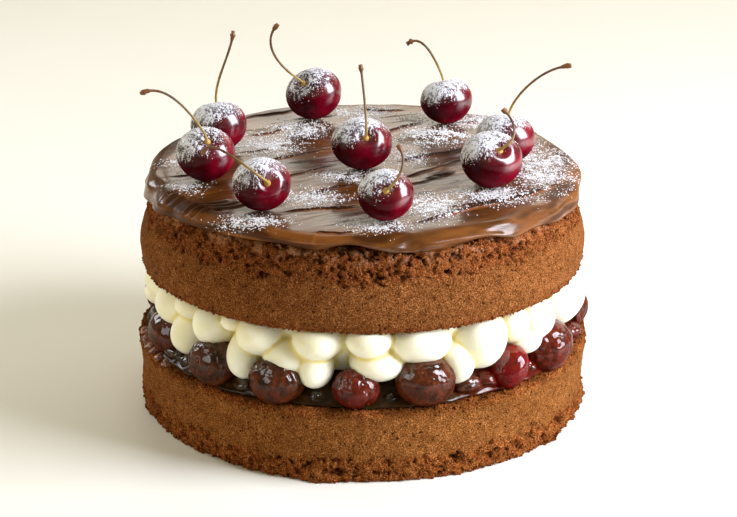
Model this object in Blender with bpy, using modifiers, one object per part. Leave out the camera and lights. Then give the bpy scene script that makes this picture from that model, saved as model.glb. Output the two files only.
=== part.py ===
"""Black forest cake from a 20 cm tin.

Two round chocolate sponges with a layer of cherries in their own jam and a ring of piped cream
between them, chocolate icing spread over the top, and nine whole cherries with stems on the icing.
The scene is in metres with +Z up. The origin is the middle of the flat underside, and the front of
the cake faces -Y. Sizes below are in millimetres unless they say otherwise.
"""

import math
import random

import bmesh
import bpy
from mathutils import Matrix, Vector

MM = 0.001  # metres
GAP = 0.3  # clearance between pieces that touch

# Heights of the layers above the plate
LOWER_TOP = 33.8
JAM_TOP = 45.0
CREAM_TOP = 68.2
UPPER_TOP = 105.5
ICING_TOP = 112.3

# Radii
SPONGE_RADIUS = 101.5
ICING_RADIUS = 98.3
JAM_RADIUS = 97.0
CREAM_CORE_RADIUS = 91.0
ROUND_STEPS = 48

# Crumbs that stand out at the foot of the lower sponge: bearing from the front, reach, spread in degrees
FOOT_FLAKES = ((-11, 2.6, 5), (57, 3.4, 5))

# The filling's cherries, each by its bearing from the front in degrees, its distance from the middle
# and its size: those that show at the front, and an even run round the back
FRONT_FILLING = ((-69, 91.5, 0.98), (-43, 95.0, 1.0), (-22.5, 95.5, 1.0), (-2, 95.5, 0.88), (16, 95.5, 1.07),
                 (41, 95.5, 0.90), (58.5, 94.5, 1.02))
BACK_FILLING_COUNT = 8
BACK_FILLING_FIRST, BACK_FILLING_STEP = 90.0, 24.0
BACK_FILLING_RADIUS = 92.0
FILLING_SIZE = Vector((22.5, 26.0, 22.0))  # outwards, along the ring, up
FILLING_SIZE_SPREAD = 0.04
FILLING_PRESS = 1.4  # how far the fruit is pressed into the lower sponge
FILLING_LUMPS = 0.045

# Piped cream: a closed row of dollops under the upper sponge, and one over each gap in the fruit
UPPER_DOLLOPS = 24
UPPER_DOLLOP = {"height": 60.5, "wide": 14.0, "tall": 13.0, "out": 11.0}
LOWER_DOLLOP = {"height": 51.5, "wide": 12.5, "tall": 11.0, "out": 9.5}
CREAM_STEPS = 96

# The cherries on the icing. place is x and y, size is across and up, dimple is the way the stem end
# points, and stem is the curve's two handles and its tip.
CHERRY_SINK = 1.2
CHERRY_SIDES = 10
DIMPLE_DEPTH, DIMPLE_RADIUS = 0.24, 0.28  # as shares of the cherry's half height and half width
STEM_RADIUS = 0.75
STEM_POINTS = 8
STEM_STRAIGHT = 5.0
STEM_CLEARANCE = 0.9
CHERRIES = (
    {"place": (-69.9, -22.2), "size": (26.0, 24.0), "dimple": (0.12, -0.57, 0.81),
     "stem": ((-75.0, -26.0, 142.0), (-84.5, -30.0, 161.0), (-97.0, -32.0, 155.0))},
    {"place": (-66.0, 19.2), "size": (25.6, 22.9), "dimple": (-0.13, 0.35, 0.93),
     "stem": ((-67.5, 21.0, 145.0), (-60.0, 24.0, 156.0), (-59.0, 26.0, 166.0))},
    {"place": (-23.0, 67.1), "size": (27.0, 22.7), "dimple": (-0.50, -0.50, 0.70),
     "stem": ((-38.0, 60.0, 137.0), (-49.0, 58.0, 150.0), (-40.0, 58.0, 160.0))},
    {"place": (-0.7, -6.0), "size": (27.4, 22.5), "dimple": (0.18, -0.80, 0.55),
     "stem": ((1.5, -14.0, 137.0), (0.5, -6.0, 148.0), (-1.0, -4.0, 159.0))},
    {"place": (39.4, 59.3), "size": (24.5, 21.2), "dimple": (-0.16, 0.30, 0.94),
     "stem": ((34.0, 63.0, 141.0), (29.0, 64.0, 155.0), (21.5, 66.0, 149.0))},
    {"place": (64.5, 1.1), "size": (26.7, 22.6), "dimple": (0.11, 0.30, 0.95),
     "stem": ((68.5, 3.0, 142.0), (78.0, -1.0, 157.0), (92.0, -4.0, 159.0))},
    {"place": (-43.9, -60.5), "size": (25.3, 23.3), "dimple": (0.30, -0.88, 0.36),
     "stem": ((-47.0, -75.0, 132.0), (-65.0, -68.0, 150.0), (-68.5, -66.0, 139.0))},
    {"place": (56.5, -30.4), "size": (27.4, 24.7), "dimple": (0.34, -0.67, 0.67),
     "stem": ((68.0, -39.0, 134.0), (68.5, -32.0, 141.0), (62.0, -30.0, 146.5))},
    {"place": (9.7, -74.2), "size": (23.9, 22.4), "dimple": (0.0, -0.85, 0.52),
     "stem": ((14.0, -86.0, 130.0), (20.5, -81.0, 140.0), (15.0, -78.0, 146.0))},
)


def clear_scene():
    for obj in list(bpy.data.objects):
        bpy.data.objects.remove(obj)


def new_collection(name, helper=False):
    made = bpy.data.collections.new(name)
    bpy.context.scene.collection.children.link(made)
    made.hide_render = helper
    return made


def new_material(name, colour, roughness):
    made = bpy.data.materials.new(name)
    made.use_nodes = True
    made.diffuse_color = (*colour, 1.0)
    shader = made.node_tree.nodes["Principled BSDF"]
    shader.inputs["Base Color"].default_value = (*colour, 1.0)
    shader.inputs["Roughness"].default_value = roughness
    shader.inputs["Metallic"].default_value = 0.0
    return made


def add_piece(name, mesh, material, collection):
    obj = bpy.data.objects.new(name, mesh)
    if not mesh.materials:
        mesh.materials.append(material)
    collection.objects.link(obj)
    return obj


def add_cutter(name, mesh, collection):
    obj = bpy.data.objects.new(name, mesh)
    obj.hide_render = True
    obj.display_type = "WIRE"
    collection.objects.link(obj)
    return obj


def cut(obj, cutters):
    boolean = obj.modifiers.new("Cut", "BOOLEAN")
    boolean.operation = "DIFFERENCE"
    boolean.solver = "EXACT"
    boolean.operand_type = "COLLECTION"
    boolean.collection = cutters


def ripple(angle, phase, counts):
    """Smooth unevenness round the cake, from -1 to 1."""
    return sum(math.sin(n * angle + phase * n * n) for n in counts) / len(counts)


def turned_mesh(name, outline, steps, shape=None, unit=MM):
    """Turns an outline of (radius, height) about Z and lets shape move its points.

    The outline runs from the axis out over the top and down its outer side, back to the axis.
    shape takes (angle, radius, height) and gives the new radius and height.
    """
    line = bpy.data.meshes.new(name + "_outline")
    edges = [(i, i + 1) for i in range(len(outline) - 1)]
    line.from_pydata([(radius * unit, 0.0, height * unit) for radius, height in outline], edges, [])
    guide = bpy.data.objects.new(name + "_outline", line)
    bpy.context.scene.collection.objects.link(guide)
    screw = guide.modifiers.new("Turn", "SCREW")
    screw.axis = "Z"
    screw.steps = screw.render_steps = steps
    screw.use_merge_vertices = True
    screw.merge_threshold = 0.00001
    graph = bpy.context.evaluated_depsgraph_get()
    mesh = bpy.data.meshes.new_from_object(guide.evaluated_get(graph))
    mesh.name = name
    bpy.data.objects.remove(guide)
    if shape:
        for vertex in mesh.vertices:
            x, y, height = vertex.co / unit
            angle = math.atan2(y, x)
            radius, height = shape(angle, math.hypot(x, y), height)
            vertex.co = Vector((radius * math.cos(angle), radius * math.sin(angle), height)) * unit
    mesh.shade_smooth()
    return mesh


def lower_sponge_mesh():
    """Flares to a crusty lip at its top edge and tucks in at the foot."""
    top = LOWER_TOP
    outline = [(0, top), (55, top), (100, top), (102.4, top - 1.0), (103, top - 4.3), (102, 24),
               (101.6, 14), (101.5, 6), (101.2, 1.5), (100.4, 0), (0, 0)]

    def shape(angle, radius, height):
        out = 0.9 * ripple(angle, 0.7, (2, 3, 5)) + 0.5 * ripple(angle + height / 40, 2.1, (7, 11))
        for bearing, reach, spread in FOOT_FLAKES:
            away = (math.degrees(angle) + 90 - bearing) / spread
            out += reach * math.exp(-away * away) * max(0.0, 1 - height / 9)
        return radius + out * (radius / SPONGE_RADIUS) ** 3, height

    return turned_mesh("lower_sponge", outline, ROUND_STEPS, shape)


def upper_sponge_mesh(name, grow=0.0):
    """Bulges low down and draws in to a rounded shoulder. grow makes it larger all over."""
    top, bottom = UPPER_TOP, CREAM_TOP + GAP
    outline = [(0, top), (55, top), (90.5, top), (94, top - 1.5), (95.7, top - 5), (96.8, 95),
               (99.5, 87.5), (101.2, 80), (100.6, bottom + 5), (99.3, bottom + 1), (97.8, bottom), (0, bottom)]

    def shape(angle, radius, height):
        out = 0.8 * ripple(angle, 1.9, (2, 3, 4)) + 0.4 * ripple(angle - height / 50, 0.4, (7, 9))
        wider = grow if radius > 0 else 0.0
        taller = grow if height > (top + bottom) / 2 else -grow
        return radius + out * (radius / SPONGE_RADIUS) ** 3 + wider, height + taller

    return turned_mesh(name, outline, ROUND_STEPS, shape)


def icing_mesh():
    """A spread cap that rolls over the shoulder to a wavy lip, lowest at the two sides."""
    top, rim = ICING_TOP, ICING_RADIUS
    lip_start, lip_end = top - 2.3, top - 9.8
    outline = [(0, top), (36, top), (66, top - 0.2), (86, top - 0.5), (92.5, top - 1.5), (96.3, top - 4),
               (rim, top - 7.5), (rim - 0.1, lip_end), (rim - 1.4, top - 11), (0, top - 11)]

    def shape(angle, radius, height):
        lip = min(max((lip_start - height) / (lip_start - lip_end), 0.0), 1.0)
        drop = 2.4 * math.cos(2 * angle) + 1.2 * ripple(angle, 0.9, (5, 7, 11))
        out = 0.9 * math.cos(2 * angle) + 0.8 * ripple(angle, 2.6, (4, 7, 9))
        spread = 0.5 * ripple(angle, radius / 25, (1, 2, 3)) if radius > 0 else 0.0
        return radius + out * (radius / rim) ** 4, height - drop * lip + spread * (1 - lip)

    return turned_mesh("chocolate_icing", outline, ROUND_STEPS, shape)


def jam_mesh():
    """The sticky layer that the filling's cherries sit in."""
    top, bottom = JAM_TOP, LOWER_TOP + GAP
    outline = [(0, top), (70, top), (88, top - 0.8), (JAM_RADIUS - 4.5, top - 4), (JAM_RADIUS - 1, top - 7.5),
               (JAM_RADIUS, bottom + 1.2), (JAM_RADIUS - 1.5, bottom), (0, bottom)]

    def shape(angle, radius, height):
        return radius + 1.2 * ripple(angle, 1.3, (5, 8, 13)) * (radius / JAM_RADIUS) ** 6, height

    return turned_mesh("cherry_jam", outline, ROUND_STEPS, shape)


def bearing_angle(bearing):
    """The polar angle of a bearing that starts at the front, -Y, and grows towards +X."""
    return math.radians(bearing - 90.0)


def filling_places():
    """The bearing, distance from the middle and size of each of the filling's cherries."""
    back = [(BACK_FILLING_FIRST + BACK_FILLING_STEP * i, BACK_FILLING_RADIUS, 1.0)
            for i in range(BACK_FILLING_COUNT)]
    return [*FRONT_FILLING, *back]


def dollops():
    """The polar angle and size of every dollop of cream."""
    for i in range(UPPER_DOLLOPS):
        yield bearing_angle(360.0 * i / UPPER_DOLLOPS), UPPER_DOLLOP
    bearings = sorted(bearing % 360 for bearing, _, _ in filling_places())
    for here, after in zip(bearings, bearings[1:] + [bearings[0] + 360]):
        yield bearing_angle((here + after) / 2), LOWER_DOLLOP


def cream_mesh():
    """A core with the dollops standing out of it, creased where two dollops meet."""
    top, bottom, core = CREAM_TOP, JAM_TOP + GAP, CREAM_CORE_RADIUS
    levels = (top, 65.5, 62, 59, 56, 52.5, 49, bottom)
    outline = [(0, top), *((core, level) for level in levels), (0, bottom)]
    pieces = list(dollops())

    def shape(angle, radius, height):
        if radius > 0:
            for middle, size in pieces:
                turn = (angle - middle + math.pi) % (2 * math.pi) - math.pi
                along = turn * core / size["wide"]
                up = (height - size["height"]) / size["tall"]
                radius = max(radius, core + size["out"] * (1 - along * along - up * up))
        return radius, height

    return turned_mesh("whipped_cream", outline, CREAM_STEPS, shape)


def filling_cherry_mesh(chance):
    """A cooked cherry, slack and a little lopsided, one unit across."""
    mesh = bpy.data.meshes.new("filling_cherry")
    ball = bmesh.new()
    bmesh.ops.create_uvsphere(ball, u_segments=10, v_segments=5, radius=0.5)
    phases = [chance.uniform(0, 2 * math.pi) for _ in range(3)]
    for vertex in ball.verts:
        waves = zip((4, 4, 6), vertex.co, phases)
        vertex.co *= 1 + FILLING_LUMPS * sum(math.sin(count * part + phase) for count, part, phase in waves)
    ball.to_mesh(mesh)
    ball.free()
    mesh.shade_smooth()
    return mesh


def fresh_cherry_mesh():
    """A whole cherry, one unit across, with the stem's dimple at its top and broad shoulders."""
    outline = [(0, (1 - DIMPLE_DEPTH) / 2)]
    for turn in (0.28, 0.75, 1.25, 1.75, 2.3):
        radius = math.sin(turn) * (1 + 0.06 * math.cos(turn))
        dimple = DIMPLE_DEPTH * math.exp(-((radius / DIMPLE_RADIUS) ** 2)) if turn < 1 else 0.0
        outline.append((radius / 2, (math.cos(turn) - dimple) / 2))
    outline.append((0, -0.5))
    return turned_mesh("fresh_cherry", outline, CHERRY_SIDES, unit=1.0)


def bezier(handles, t):
    """The point at t on the one curve that all the handles shape."""
    last = len(handles) - 1
    point = Vector()
    for i, handle in enumerate(handles):
        point += handle * (math.comb(last, i) * t ** i * (1 - t) ** (last - i))
    return point


def add_stem(name, foot, way, handles, material, collection):
    """A thin stem that leaves its dimple straight and swells to the scar where it left the twig."""
    handles = [foot, foot + way * STEM_STRAIGHT, *(Vector(handle) for handle in handles)]
    curve = bpy.data.curves.new(name, "CURVE")
    curve.dimensions = "3D"
    curve.bevel_depth = STEM_RADIUS * MM
    curve.bevel_resolution = 1
    curve.use_fill_caps = True
    curve.materials.append(material)
    spline = curve.splines.new("POLY")
    spline.points.add(STEM_POINTS - 1)
    for i, point in enumerate(spline.points):
        t = i / (STEM_POINTS - 1)
        point.co = (*(bezier(handles, t) * MM), 1.0)
        point.radius = 1.0 + 0.7 * max(0.0, (t - 0.8) / 0.2)
    collection.objects.link(bpy.data.objects.new(name, curve))


def cherry_pose(spec):
    """A cherry's centre, rotation and size: its dimple faces as stated, its lowest point is sunk."""
    across, up = spec["size"]
    deep = 0.94 * across
    upright = Vector(spec["dimple"]).normalized()
    side = (Vector((1, 0, 0)) - upright * upright.x).normalized()
    back = upright.cross(side)
    lying = 1 - upright.z ** 2
    size = Vector((across, deep + (up - deep) * lying, up + (deep - up) * lying))
    axes = (side, back, upright)
    rise = math.sqrt(sum((length / 2 * axis.z) ** 2 for length, axis in zip(size, axes)))
    centre = Vector((*spec["place"], ICING_TOP - CHERRY_SINK + rise))
    return centre, Matrix(axes).transposed(), size


def add_filling_cherries(material, cake, cutters):
    chance = random.Random(7)
    for i, (bearing, ring, scale) in enumerate(filling_places(), start=1):
        mesh = filling_cherry_mesh(chance)
        size = FILLING_SIZE * scale * chance.uniform(1 - FILLING_SIZE_SPREAD, 1 + FILLING_SIZE_SPREAD)
        angle = bearing_angle(bearing)
        centre = Vector((ring * math.cos(angle), ring * math.sin(angle), LOWER_TOP - FILLING_PRESS + size.z / 2))
        room = add_cutter(f"filling_cherry_room_{i:02d}", mesh.copy(), cutters)
        cherry = add_piece(f"filling_cherry_{i:02d}", mesh, material, cake)
        for obj, grow in ((cherry, 0.0), (room, 4 * GAP)):
            obj.location = centre * MM
            obj.rotation_euler = (0.0, 0.0, angle)
            obj.scale = (size + Vector((grow, grow, grow))) * MM


def add_fresh_cherries(skin, twig, cake, cutters):
    mesh, room_mesh = fresh_cherry_mesh(), fresh_cherry_mesh()
    for i, spec in enumerate(CHERRIES, start=1):
        centre, rotation, size = cherry_pose(spec)
        cherry = add_piece(f"cherry_{i:02d}", mesh, skin, cake)
        room = add_cutter(f"cherry_room_{i:02d}", room_mesh, cutters)
        for obj, grow in ((cherry, 0.0), (room, 2 * GAP)):
            obj.location = centre * MM
            obj.rotation_euler = rotation.to_euler()
            obj.scale = (size + Vector((grow, grow, grow))) * MM
        way = rotation.col[2]
        foot = centre + way * ((1 - DIMPLE_DEPTH) / 2 * size.z + STEM_CLEARANCE)
        add_stem(f"cherry_stem_{i:02d}", foot, way, spec["stem"], twig, cake)


def build():
    clear_scene()
    cake = new_collection("black_forest_cake")
    icing_cutters = new_collection("icing_cutters", helper=True)
    filling_cutters = new_collection("filling_cutters", helper=True)

    sponge = new_material("sponge", (0.195, 0.075, 0.025), 0.9)
    chocolate = new_material("chocolate", (0.10, 0.035, 0.014), 0.25)
    cream = new_material("cream", (0.90, 0.86, 0.72), 0.45)
    jam = new_material("jam", (0.045, 0.008, 0.006), 0.12)
    fruit = new_material("cooked_cherry", (0.08, 0.01, 0.01), 0.15)
    skin = new_material("cherry_skin", (0.16, 0.006, 0.016), 0.1)
    twig = new_material("stem", (0.30, 0.22, 0.06), 0.6)

    add_piece("upper_sponge", upper_sponge_mesh("upper_sponge"), sponge, cake)
    add_cutter("upper_sponge_room", upper_sponge_mesh("upper_sponge_room", GAP), icing_cutters)
    add_filling_cherries(fruit, cake, filling_cutters)
    add_fresh_cherries(skin, twig, cake, icing_cutters)

    cut(add_piece("chocolate_icing", icing_mesh(), chocolate, cake), icing_cutters)
    cut(add_piece("lower_sponge", lower_sponge_mesh(), sponge, cake), filling_cutters)
    cut(add_piece("cherry_jam", jam_mesh(), jam, cake), filling_cutters)
    cut(add_piece("whipped_cream", cream_mesh(), cream, cake), filling_cutters)


build()
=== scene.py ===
# Black forest cake: the looks of every layer, cherry and grain of sugar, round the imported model
import math
import random

import bmesh
import bpy
import numpy as np
from mathutils import Matrix, Vector


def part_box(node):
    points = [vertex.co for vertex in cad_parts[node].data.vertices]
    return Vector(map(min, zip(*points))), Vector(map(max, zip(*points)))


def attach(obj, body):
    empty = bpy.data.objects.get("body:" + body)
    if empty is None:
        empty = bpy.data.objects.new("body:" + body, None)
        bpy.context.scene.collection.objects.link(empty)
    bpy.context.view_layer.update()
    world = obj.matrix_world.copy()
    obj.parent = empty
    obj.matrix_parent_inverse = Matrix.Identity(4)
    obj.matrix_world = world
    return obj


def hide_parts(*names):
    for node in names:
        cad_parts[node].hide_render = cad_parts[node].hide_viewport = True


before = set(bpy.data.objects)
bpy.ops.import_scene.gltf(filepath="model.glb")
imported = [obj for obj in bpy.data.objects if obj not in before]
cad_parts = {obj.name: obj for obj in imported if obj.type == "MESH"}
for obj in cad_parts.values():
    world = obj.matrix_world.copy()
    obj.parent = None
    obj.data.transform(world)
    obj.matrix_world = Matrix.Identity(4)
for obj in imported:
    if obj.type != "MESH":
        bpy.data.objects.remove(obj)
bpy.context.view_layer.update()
mm = 0.001  # lengths below are in millimetres


# Sums on sockets, and one way to add any other node

class Wire:
    # one socket that takes part in Python sums
    def __init__(self, tree, socket):
        self.tree, self.socket = tree, socket

    def sum(self, operation, *values):
        return addNode(self.tree, "ShaderNodeMath", {"operation": operation}, dict(enumerate(values)))

    def other(self, name):
        # another output of the same node
        return Wire(self.tree, self.socket.node.outputs[name])

    def __add__(self, other):
        return self.sum("ADD", self, other)

    def __sub__(self, other):
        return self.sum("SUBTRACT", self, other)

    def __rsub__(self, other):
        return self.sum("SUBTRACT", other, self)

    def __mul__(self, other):
        return self.sum("MULTIPLY", self, other)

    def __truediv__(self, other):
        return self.sum("DIVIDE", self, other)

    def __rtruediv__(self, other):
        return self.sum("DIVIDE", other, self)

    def __abs__(self):
        return self.sum("ABSOLUTE", self)

    __radd__ = __add__
    __rmul__ = __mul__


def addNode(tree, kind, settings=None, values=None, out=0):
    node = tree.nodes.new(kind)
    for key, value in (settings or {}).items():
        setattr(node, key, value)
    for key, value in (values or {}).items():
        if isinstance(value, Wire):
            tree.links.new(value.socket, node.inputs[key])
        else:
            node.inputs[key].default_value = value
    return Wire(tree, node.outputs[out])


def larger(first, second):
    return first.sum("MAXIMUM", first, second)


def smaller(first, second):
    return first.sum("MINIMUM", first, second)


def fade(wire, start, end):
    # 0 up to start, 1 from end on, smooth between them
    values = {"Value": wire, "From Min": start, "From Max": end}
    return addNode(wire.tree, "ShaderNodeMapRange", {"interpolation_type": "SMOOTHSTEP"}, values)


def fadeOut(wire, start, end):
    # 1 up to start, 0 from end on
    return 1.0 - fade(wire, start, end)


def vector(tree, operation, values, out=0):
    return addNode(tree, "ShaderNodeVectorMath", {"operation": operation}, values, out)


def stretched(wire, scale):
    return vector(wire.tree, "MULTIPLY", {0: wire, 1: scale})


def scaled(wire, share):
    return vector(wire.tree, "SCALE", {0: wire, "Scale": share})


def shifted(wire, other, share):
    return vector(wire.tree, "ADD", {0: wire, 1: vector(wire.tree, "SCALE", {0: other, "Scale": share})})


def elsewhere(wire, distance):
    # reads a pattern from another place, so that two patterns don't line up
    return shifted(wire, (1.0, 1.0, 1.0), distance)


def part(wire, axis):
    return addNode(wire.tree, "ShaderNodeSeparateXYZ", None, {0: wire}, axis)


def mottle(wire, size, detail=2.0, rough=0.5, out="Fac"):
    # soft noise whose bumps are about size millimetres apart
    values = {"Vector": wire, "Scale": 1.0 / size, "Detail": detail, "Roughness": rough}
    return addNode(wire.tree, "ShaderNodeTexNoise", None, values, out)


def holes(wire, spacing, share, seed=0.0):
    # round holes of mixed sizes: a share of the cells that are spacing apart holds one, deepest at 1
    warped = shifted(wire, mottle(wire, spacing * 0.8, 2.0, 0.6, "Color"), spacing * 0.9)
    values = {"Vector": elsewhere(warped, seed), "Scale": 1.0 / spacing}
    cell = addNode(wire.tree, "ShaderNodeTexVoronoi", None, values)
    chance = part(cell.other("Color"), "X")
    reach = 0.16 + 0.34 * chance.other("Y")
    return fadeOut(cell / reach, 0.35, 1.0) * fade(chance, 1.0 - share - 0.02, 1.0 - share + 0.02)


def blend(factor, first, second, way="MIX"):
    tree = next(value for value in (factor, first, second) if isinstance(value, Wire)).tree
    return addNode(tree, "ShaderNodeMix", {"data_type": "RGBA", "blend_type": way},
                   {0: factor, 6: first, 7: second}, 2)


def ramp(wire, *stops):
    # colours along a value, each with its place
    made = addNode(wire.tree, "ShaderNodeValToRGB", None, {0: wire})
    elements = made.socket.node.color_ramp.elements
    while len(elements) < len(stops):
        elements.new(0.5)
    for element, (place, colour) in zip(elements, stops):
        element.position, element.color = place, colour
    return made


def shade(red, green, blue):
    # a colour read off a screen, 0 to 255, as Blender's linear colour
    def straight(value):
        value /= 255
        return value / 12.92 if value <= 0.04045 else ((value + 0.055) / 1.055) ** 2.4
    return (straight(red), straight(green), straight(blue), 1.0)


def newFinish(name, **fixed):
    # a Principled material: the names of fixed have _ for a space
    made = bpy.data.materials.new(name)
    made.use_nodes = True
    shader = made.node_tree.nodes["Principled BSDF"]
    for key, value in fixed.items():
        shader.inputs[key.replace("_", " ")].default_value = value
    tree = made.node_tree
    return made, shader, stretched(addNode(tree, "ShaderNodeTexCoord", out="Object"), (1000.0,) * 3)


def feed(shader, **wires):
    for key, wire in wires.items():
        wire.tree.links.new(wire.socket, shader.inputs[key.replace("_", " ")])


def bump(height, depth, strength=1.0, under=None):
    # depth is in millimetres for a height that runs from 0 to 1
    values = {"Height": height, "Distance": depth * mm, "Strength": strength}
    if under:
        values["Normal"] = under
    return addNode(height.tree, "ShaderNodeBump", None, values)


def painted(tree, name):
    return addNode(tree, "ShaderNodeAttribute", {"attribute_name": name}, out="Fac")


def addObject(name, data):
    made = bpy.data.objects.new(name, data)
    bpy.context.scene.collection.objects.link(made)
    return made


# Geometry Nodes

def newTree(name, sizes):
    # a tree with a named input for each size, and those inputs as wires
    tree = bpy.data.node_groups.new(name, "GeometryNodeTree")
    tree.interface.new_socket("Geometry", in_out="INPUT", socket_type="NodeSocketGeometry")
    for label, value in sizes.items():
        kind = "NodeSocketInt" if isinstance(value, int) else "NodeSocketFloat"
        tree.interface.new_socket(label, in_out="INPUT", socket_type=kind).default_value = value
    tree.interface.new_socket("Geometry", in_out="OUTPUT", socket_type="NodeSocketGeometry")
    entry = tree.nodes.new("NodeGroupInput")
    return tree, {socket.name: Wire(tree, socket) for socket in entry.outputs if socket.name}


def endTree(shape, finish):
    # every tree ends in real geometry with its material
    whole = addNode(shape.tree, "GeometryNodeRealizeInstances", None, {"Geometry": shape})
    values = {"Geometry": whole, "Material": finish}
    coloured = addNode(shape.tree, "GeometryNodeSetMaterial", None, values)
    shape.tree.links.new(coloured.socket, shape.tree.nodes.new("NodeGroupOutput").inputs["Geometry"])


def evaluated(thing):
    # the mesh that an object makes with its modifiers; the object itself goes
    graph = bpy.context.evaluated_depsgraph_get()
    mesh = bpy.data.meshes.new_from_object(thing.evaluated_get(graph))
    bpy.data.objects.remove(thing)
    return mesh


def grown(mesh, tree, sizes):
    # the mesh that the tree makes from this mesh
    seedling = addObject("seedling", mesh)
    modifier = seedling.modifiers.new("Grow", "NODES")
    modifier.node_group = tree
    for item in tree.interface.items_tree:
        if item.in_out == "INPUT" and item.name in sizes:
            modifier[item.identifier] = sizes[item.name]
    return evaluated(seedling)


def storeField(shape, name, value):
    values = {"Geometry": shape, "Name": name, "Value": value}
    return addNode(shape.tree, "GeometryNodeStoreNamedAttribute",
                   {"data_type": "FLOAT", "domain": "POINT"}, values)


def namedField(tree, name):
    return addNode(tree, "GeometryNodeInputNamedAttribute", {"data_type": "FLOAT"}, {"Name": name})


def randomVector(tree, low, high, seed):
    values = {0: (low,) * 3, 1: (high,) * 3, "Seed": seed}
    return addNode(tree, "FunctionNodeRandomValue", {"data_type": "FLOAT_VECTOR"}, values)


def scatterTree(name, finish, sides, rings):
    # small rough grains stood on the faces, as many as the painted amount calls for
    sizes = {"Grains per cm2": 40.0, "Smallest": 0.3, "Largest": 0.6, "Lift": 0.1, "Seed": 1}
    tree, wires = newTree(name, sizes)
    perSquareMetre = 10000.0
    amount = namedField(tree, "amount") * wires["Grains per cm2"] * perSquareMetre
    points = addNode(tree, "GeometryNodeDistributePointsOnFaces", {"distribute_method": "RANDOM"},
                     {"Mesh": wires["Geometry"], "Density": amount, "Seed": wires["Seed"]})
    lift = scaled(points.other("Normal"), wires["Lift"] * mm)
    raised = addNode(tree, "GeometryNodeSetPosition", None, {"Geometry": points, "Offset": lift})
    grain = addNode(tree, "GeometryNodeMeshUVSphere", None,
                    {"Segments": sides, "Rings": rings, "Radius": 0.5})
    turn = randomVector(tree, -math.pi, math.pi, 3)
    size = addNode(tree, "FunctionNodeRandomValue", {"data_type": "FLOAT"},
                   {2: wires["Smallest"] * mm, 3: wires["Largest"] * mm, "Seed": 5}, 1)
    scale = scaled(randomVector(tree, 0.7, 1.25, 7), size)
    placed = addNode(tree, "GeometryNodeInstanceOnPoints", None,
                     {"Points": raised, "Instance": grain, "Rotation": turn, "Scale": scale})
    endTree(placed, finish)
    return tree


# Shapes in plain numbers

def smoothStep(value, start, end):
    t = np.clip((value - start) / (end - start), 0.0, 1.0)
    return t * t * (3 - 2 * t)


def ripple(angle, phase, counts):
    # smooth unevenness round the cake, from -1 to 1
    return sum(np.sin(n * angle + phase * n * n) for n in counts) / len(counts)


def softNoise(points, size, seed):
    # smooth random field with bumps size apart, from -1 to 1; size may differ by axis
    cells = np.asarray(points) / np.asarray(size, float) + seed * 17.3
    low = np.floor(cells)
    share = cells - low
    share = share * share * (3 - 2 * share)
    total = 0.0
    for corner in np.ndindex(2, 2, 2):
        mixed = (low + corner) @ np.array((127.1, 311.7, 74.7)) + seed
        value = np.sin(mixed) * 43758.5453
        weight = np.prod(np.where(np.array(corner) == 1, share, 1 - share), axis=-1)
        total = total + weight * (2 * (value - np.floor(value)) - 1)
    return total


def between(a, b, c, d, t):
    # a point on the smooth curve from b to c, with a before them and d after
    return 0.5 * (2 * b + (c - a) * t + (2 * a - 5 * b + 4 * c - d) * t ** 2
                  + (3 * b - a - 3 * c + d) * t ** 3)


def smoothLine(knots, spacing):
    # an even run of points along a smooth curve through the knots
    knots = np.array(knots, float)
    ends = np.vstack([2 * knots[0] - knots[1], knots, 2 * knots[-1] - knots[-2]])
    t = np.linspace(0, 1, 40, endpoint=False)[:, None]
    runs = [between(*four, t) for four in zip(ends, ends[1:], ends[2:], ends[3:])]
    fine = np.vstack([*runs, knots[-1:]])
    along = np.concatenate([[0], np.cumsum(np.linalg.norm(np.diff(fine, axis=0), axis=1))])
    stops = np.linspace(0, along[-1], max(2, round(along[-1] / spacing)) + 1)
    return np.column_stack([np.interp(stops, along, fine[:, k]) for k in range(fine.shape[1])])


def paint(mesh, name, values):
    # keeps one number for each point
    mesh.attributes.new(name, "FLOAT", "POINT").data.foreach_set("value", np.asarray(values, float).ravel())


def newMesh(name, points, faces, fields=None):
    mesh = bpy.data.meshes.new(name)
    mesh.from_pydata((np.asarray(points) * mm).tolist(), [], faces)
    for key, values in (fields or {}).items():
        paint(mesh, key, values)
    mesh.shade_smooth()
    return mesh


def pointsOf(mesh):
    return np.array([vertex.co for vertex in mesh.vertices])


def normalsOf(mesh):
    return np.array([vertex.normal for vertex in mesh.vertices])


def facesOf(mesh):
    return [tuple(face.vertices) for face in mesh.polygons]


def field(mesh, name):
    return np.array([item.value for item in mesh.attributes[name].data])


def aboveFloor(mesh):
    for vertex in mesh.vertices:
        vertex.co.z = max(vertex.co.z, 0.0)


def joined(shapes):
    # the points and the faces of several shapes as one
    points, faces = [], []
    start = 0
    for some, sides in shapes:
        points.append(some)
        faces += [tuple(start + corner for corner in face) for face in sides]
        start += len(some)
    return np.vstack(points), faces


def atRim(points, bearing, ring, level):
    # points made round the origin with +X outwards, moved to their place on the cake
    angle = float(bearingAngle(bearing))
    turn = np.array(Matrix.Rotation(angle, 3, "Z"))
    return points @ turn.T + (ring * math.cos(angle), ring * math.sin(angle), level)


def ringFaces(rows, steps, first=0):
    # four-sided faces between rows of points that each run once round
    here = np.arange(steps)
    after = (here + 1) % steps
    faces = []
    for row in range(rows - 1):
        top, low = first + row * steps, first + (row + 1) * steps
        faces += np.column_stack([top + here, low + here, low + after, top + after]).tolist()
    return faces


def onRing(angle, radius, height):
    return np.stack([radius * np.cos(angle), radius * np.sin(angle), height], axis=-1)


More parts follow.
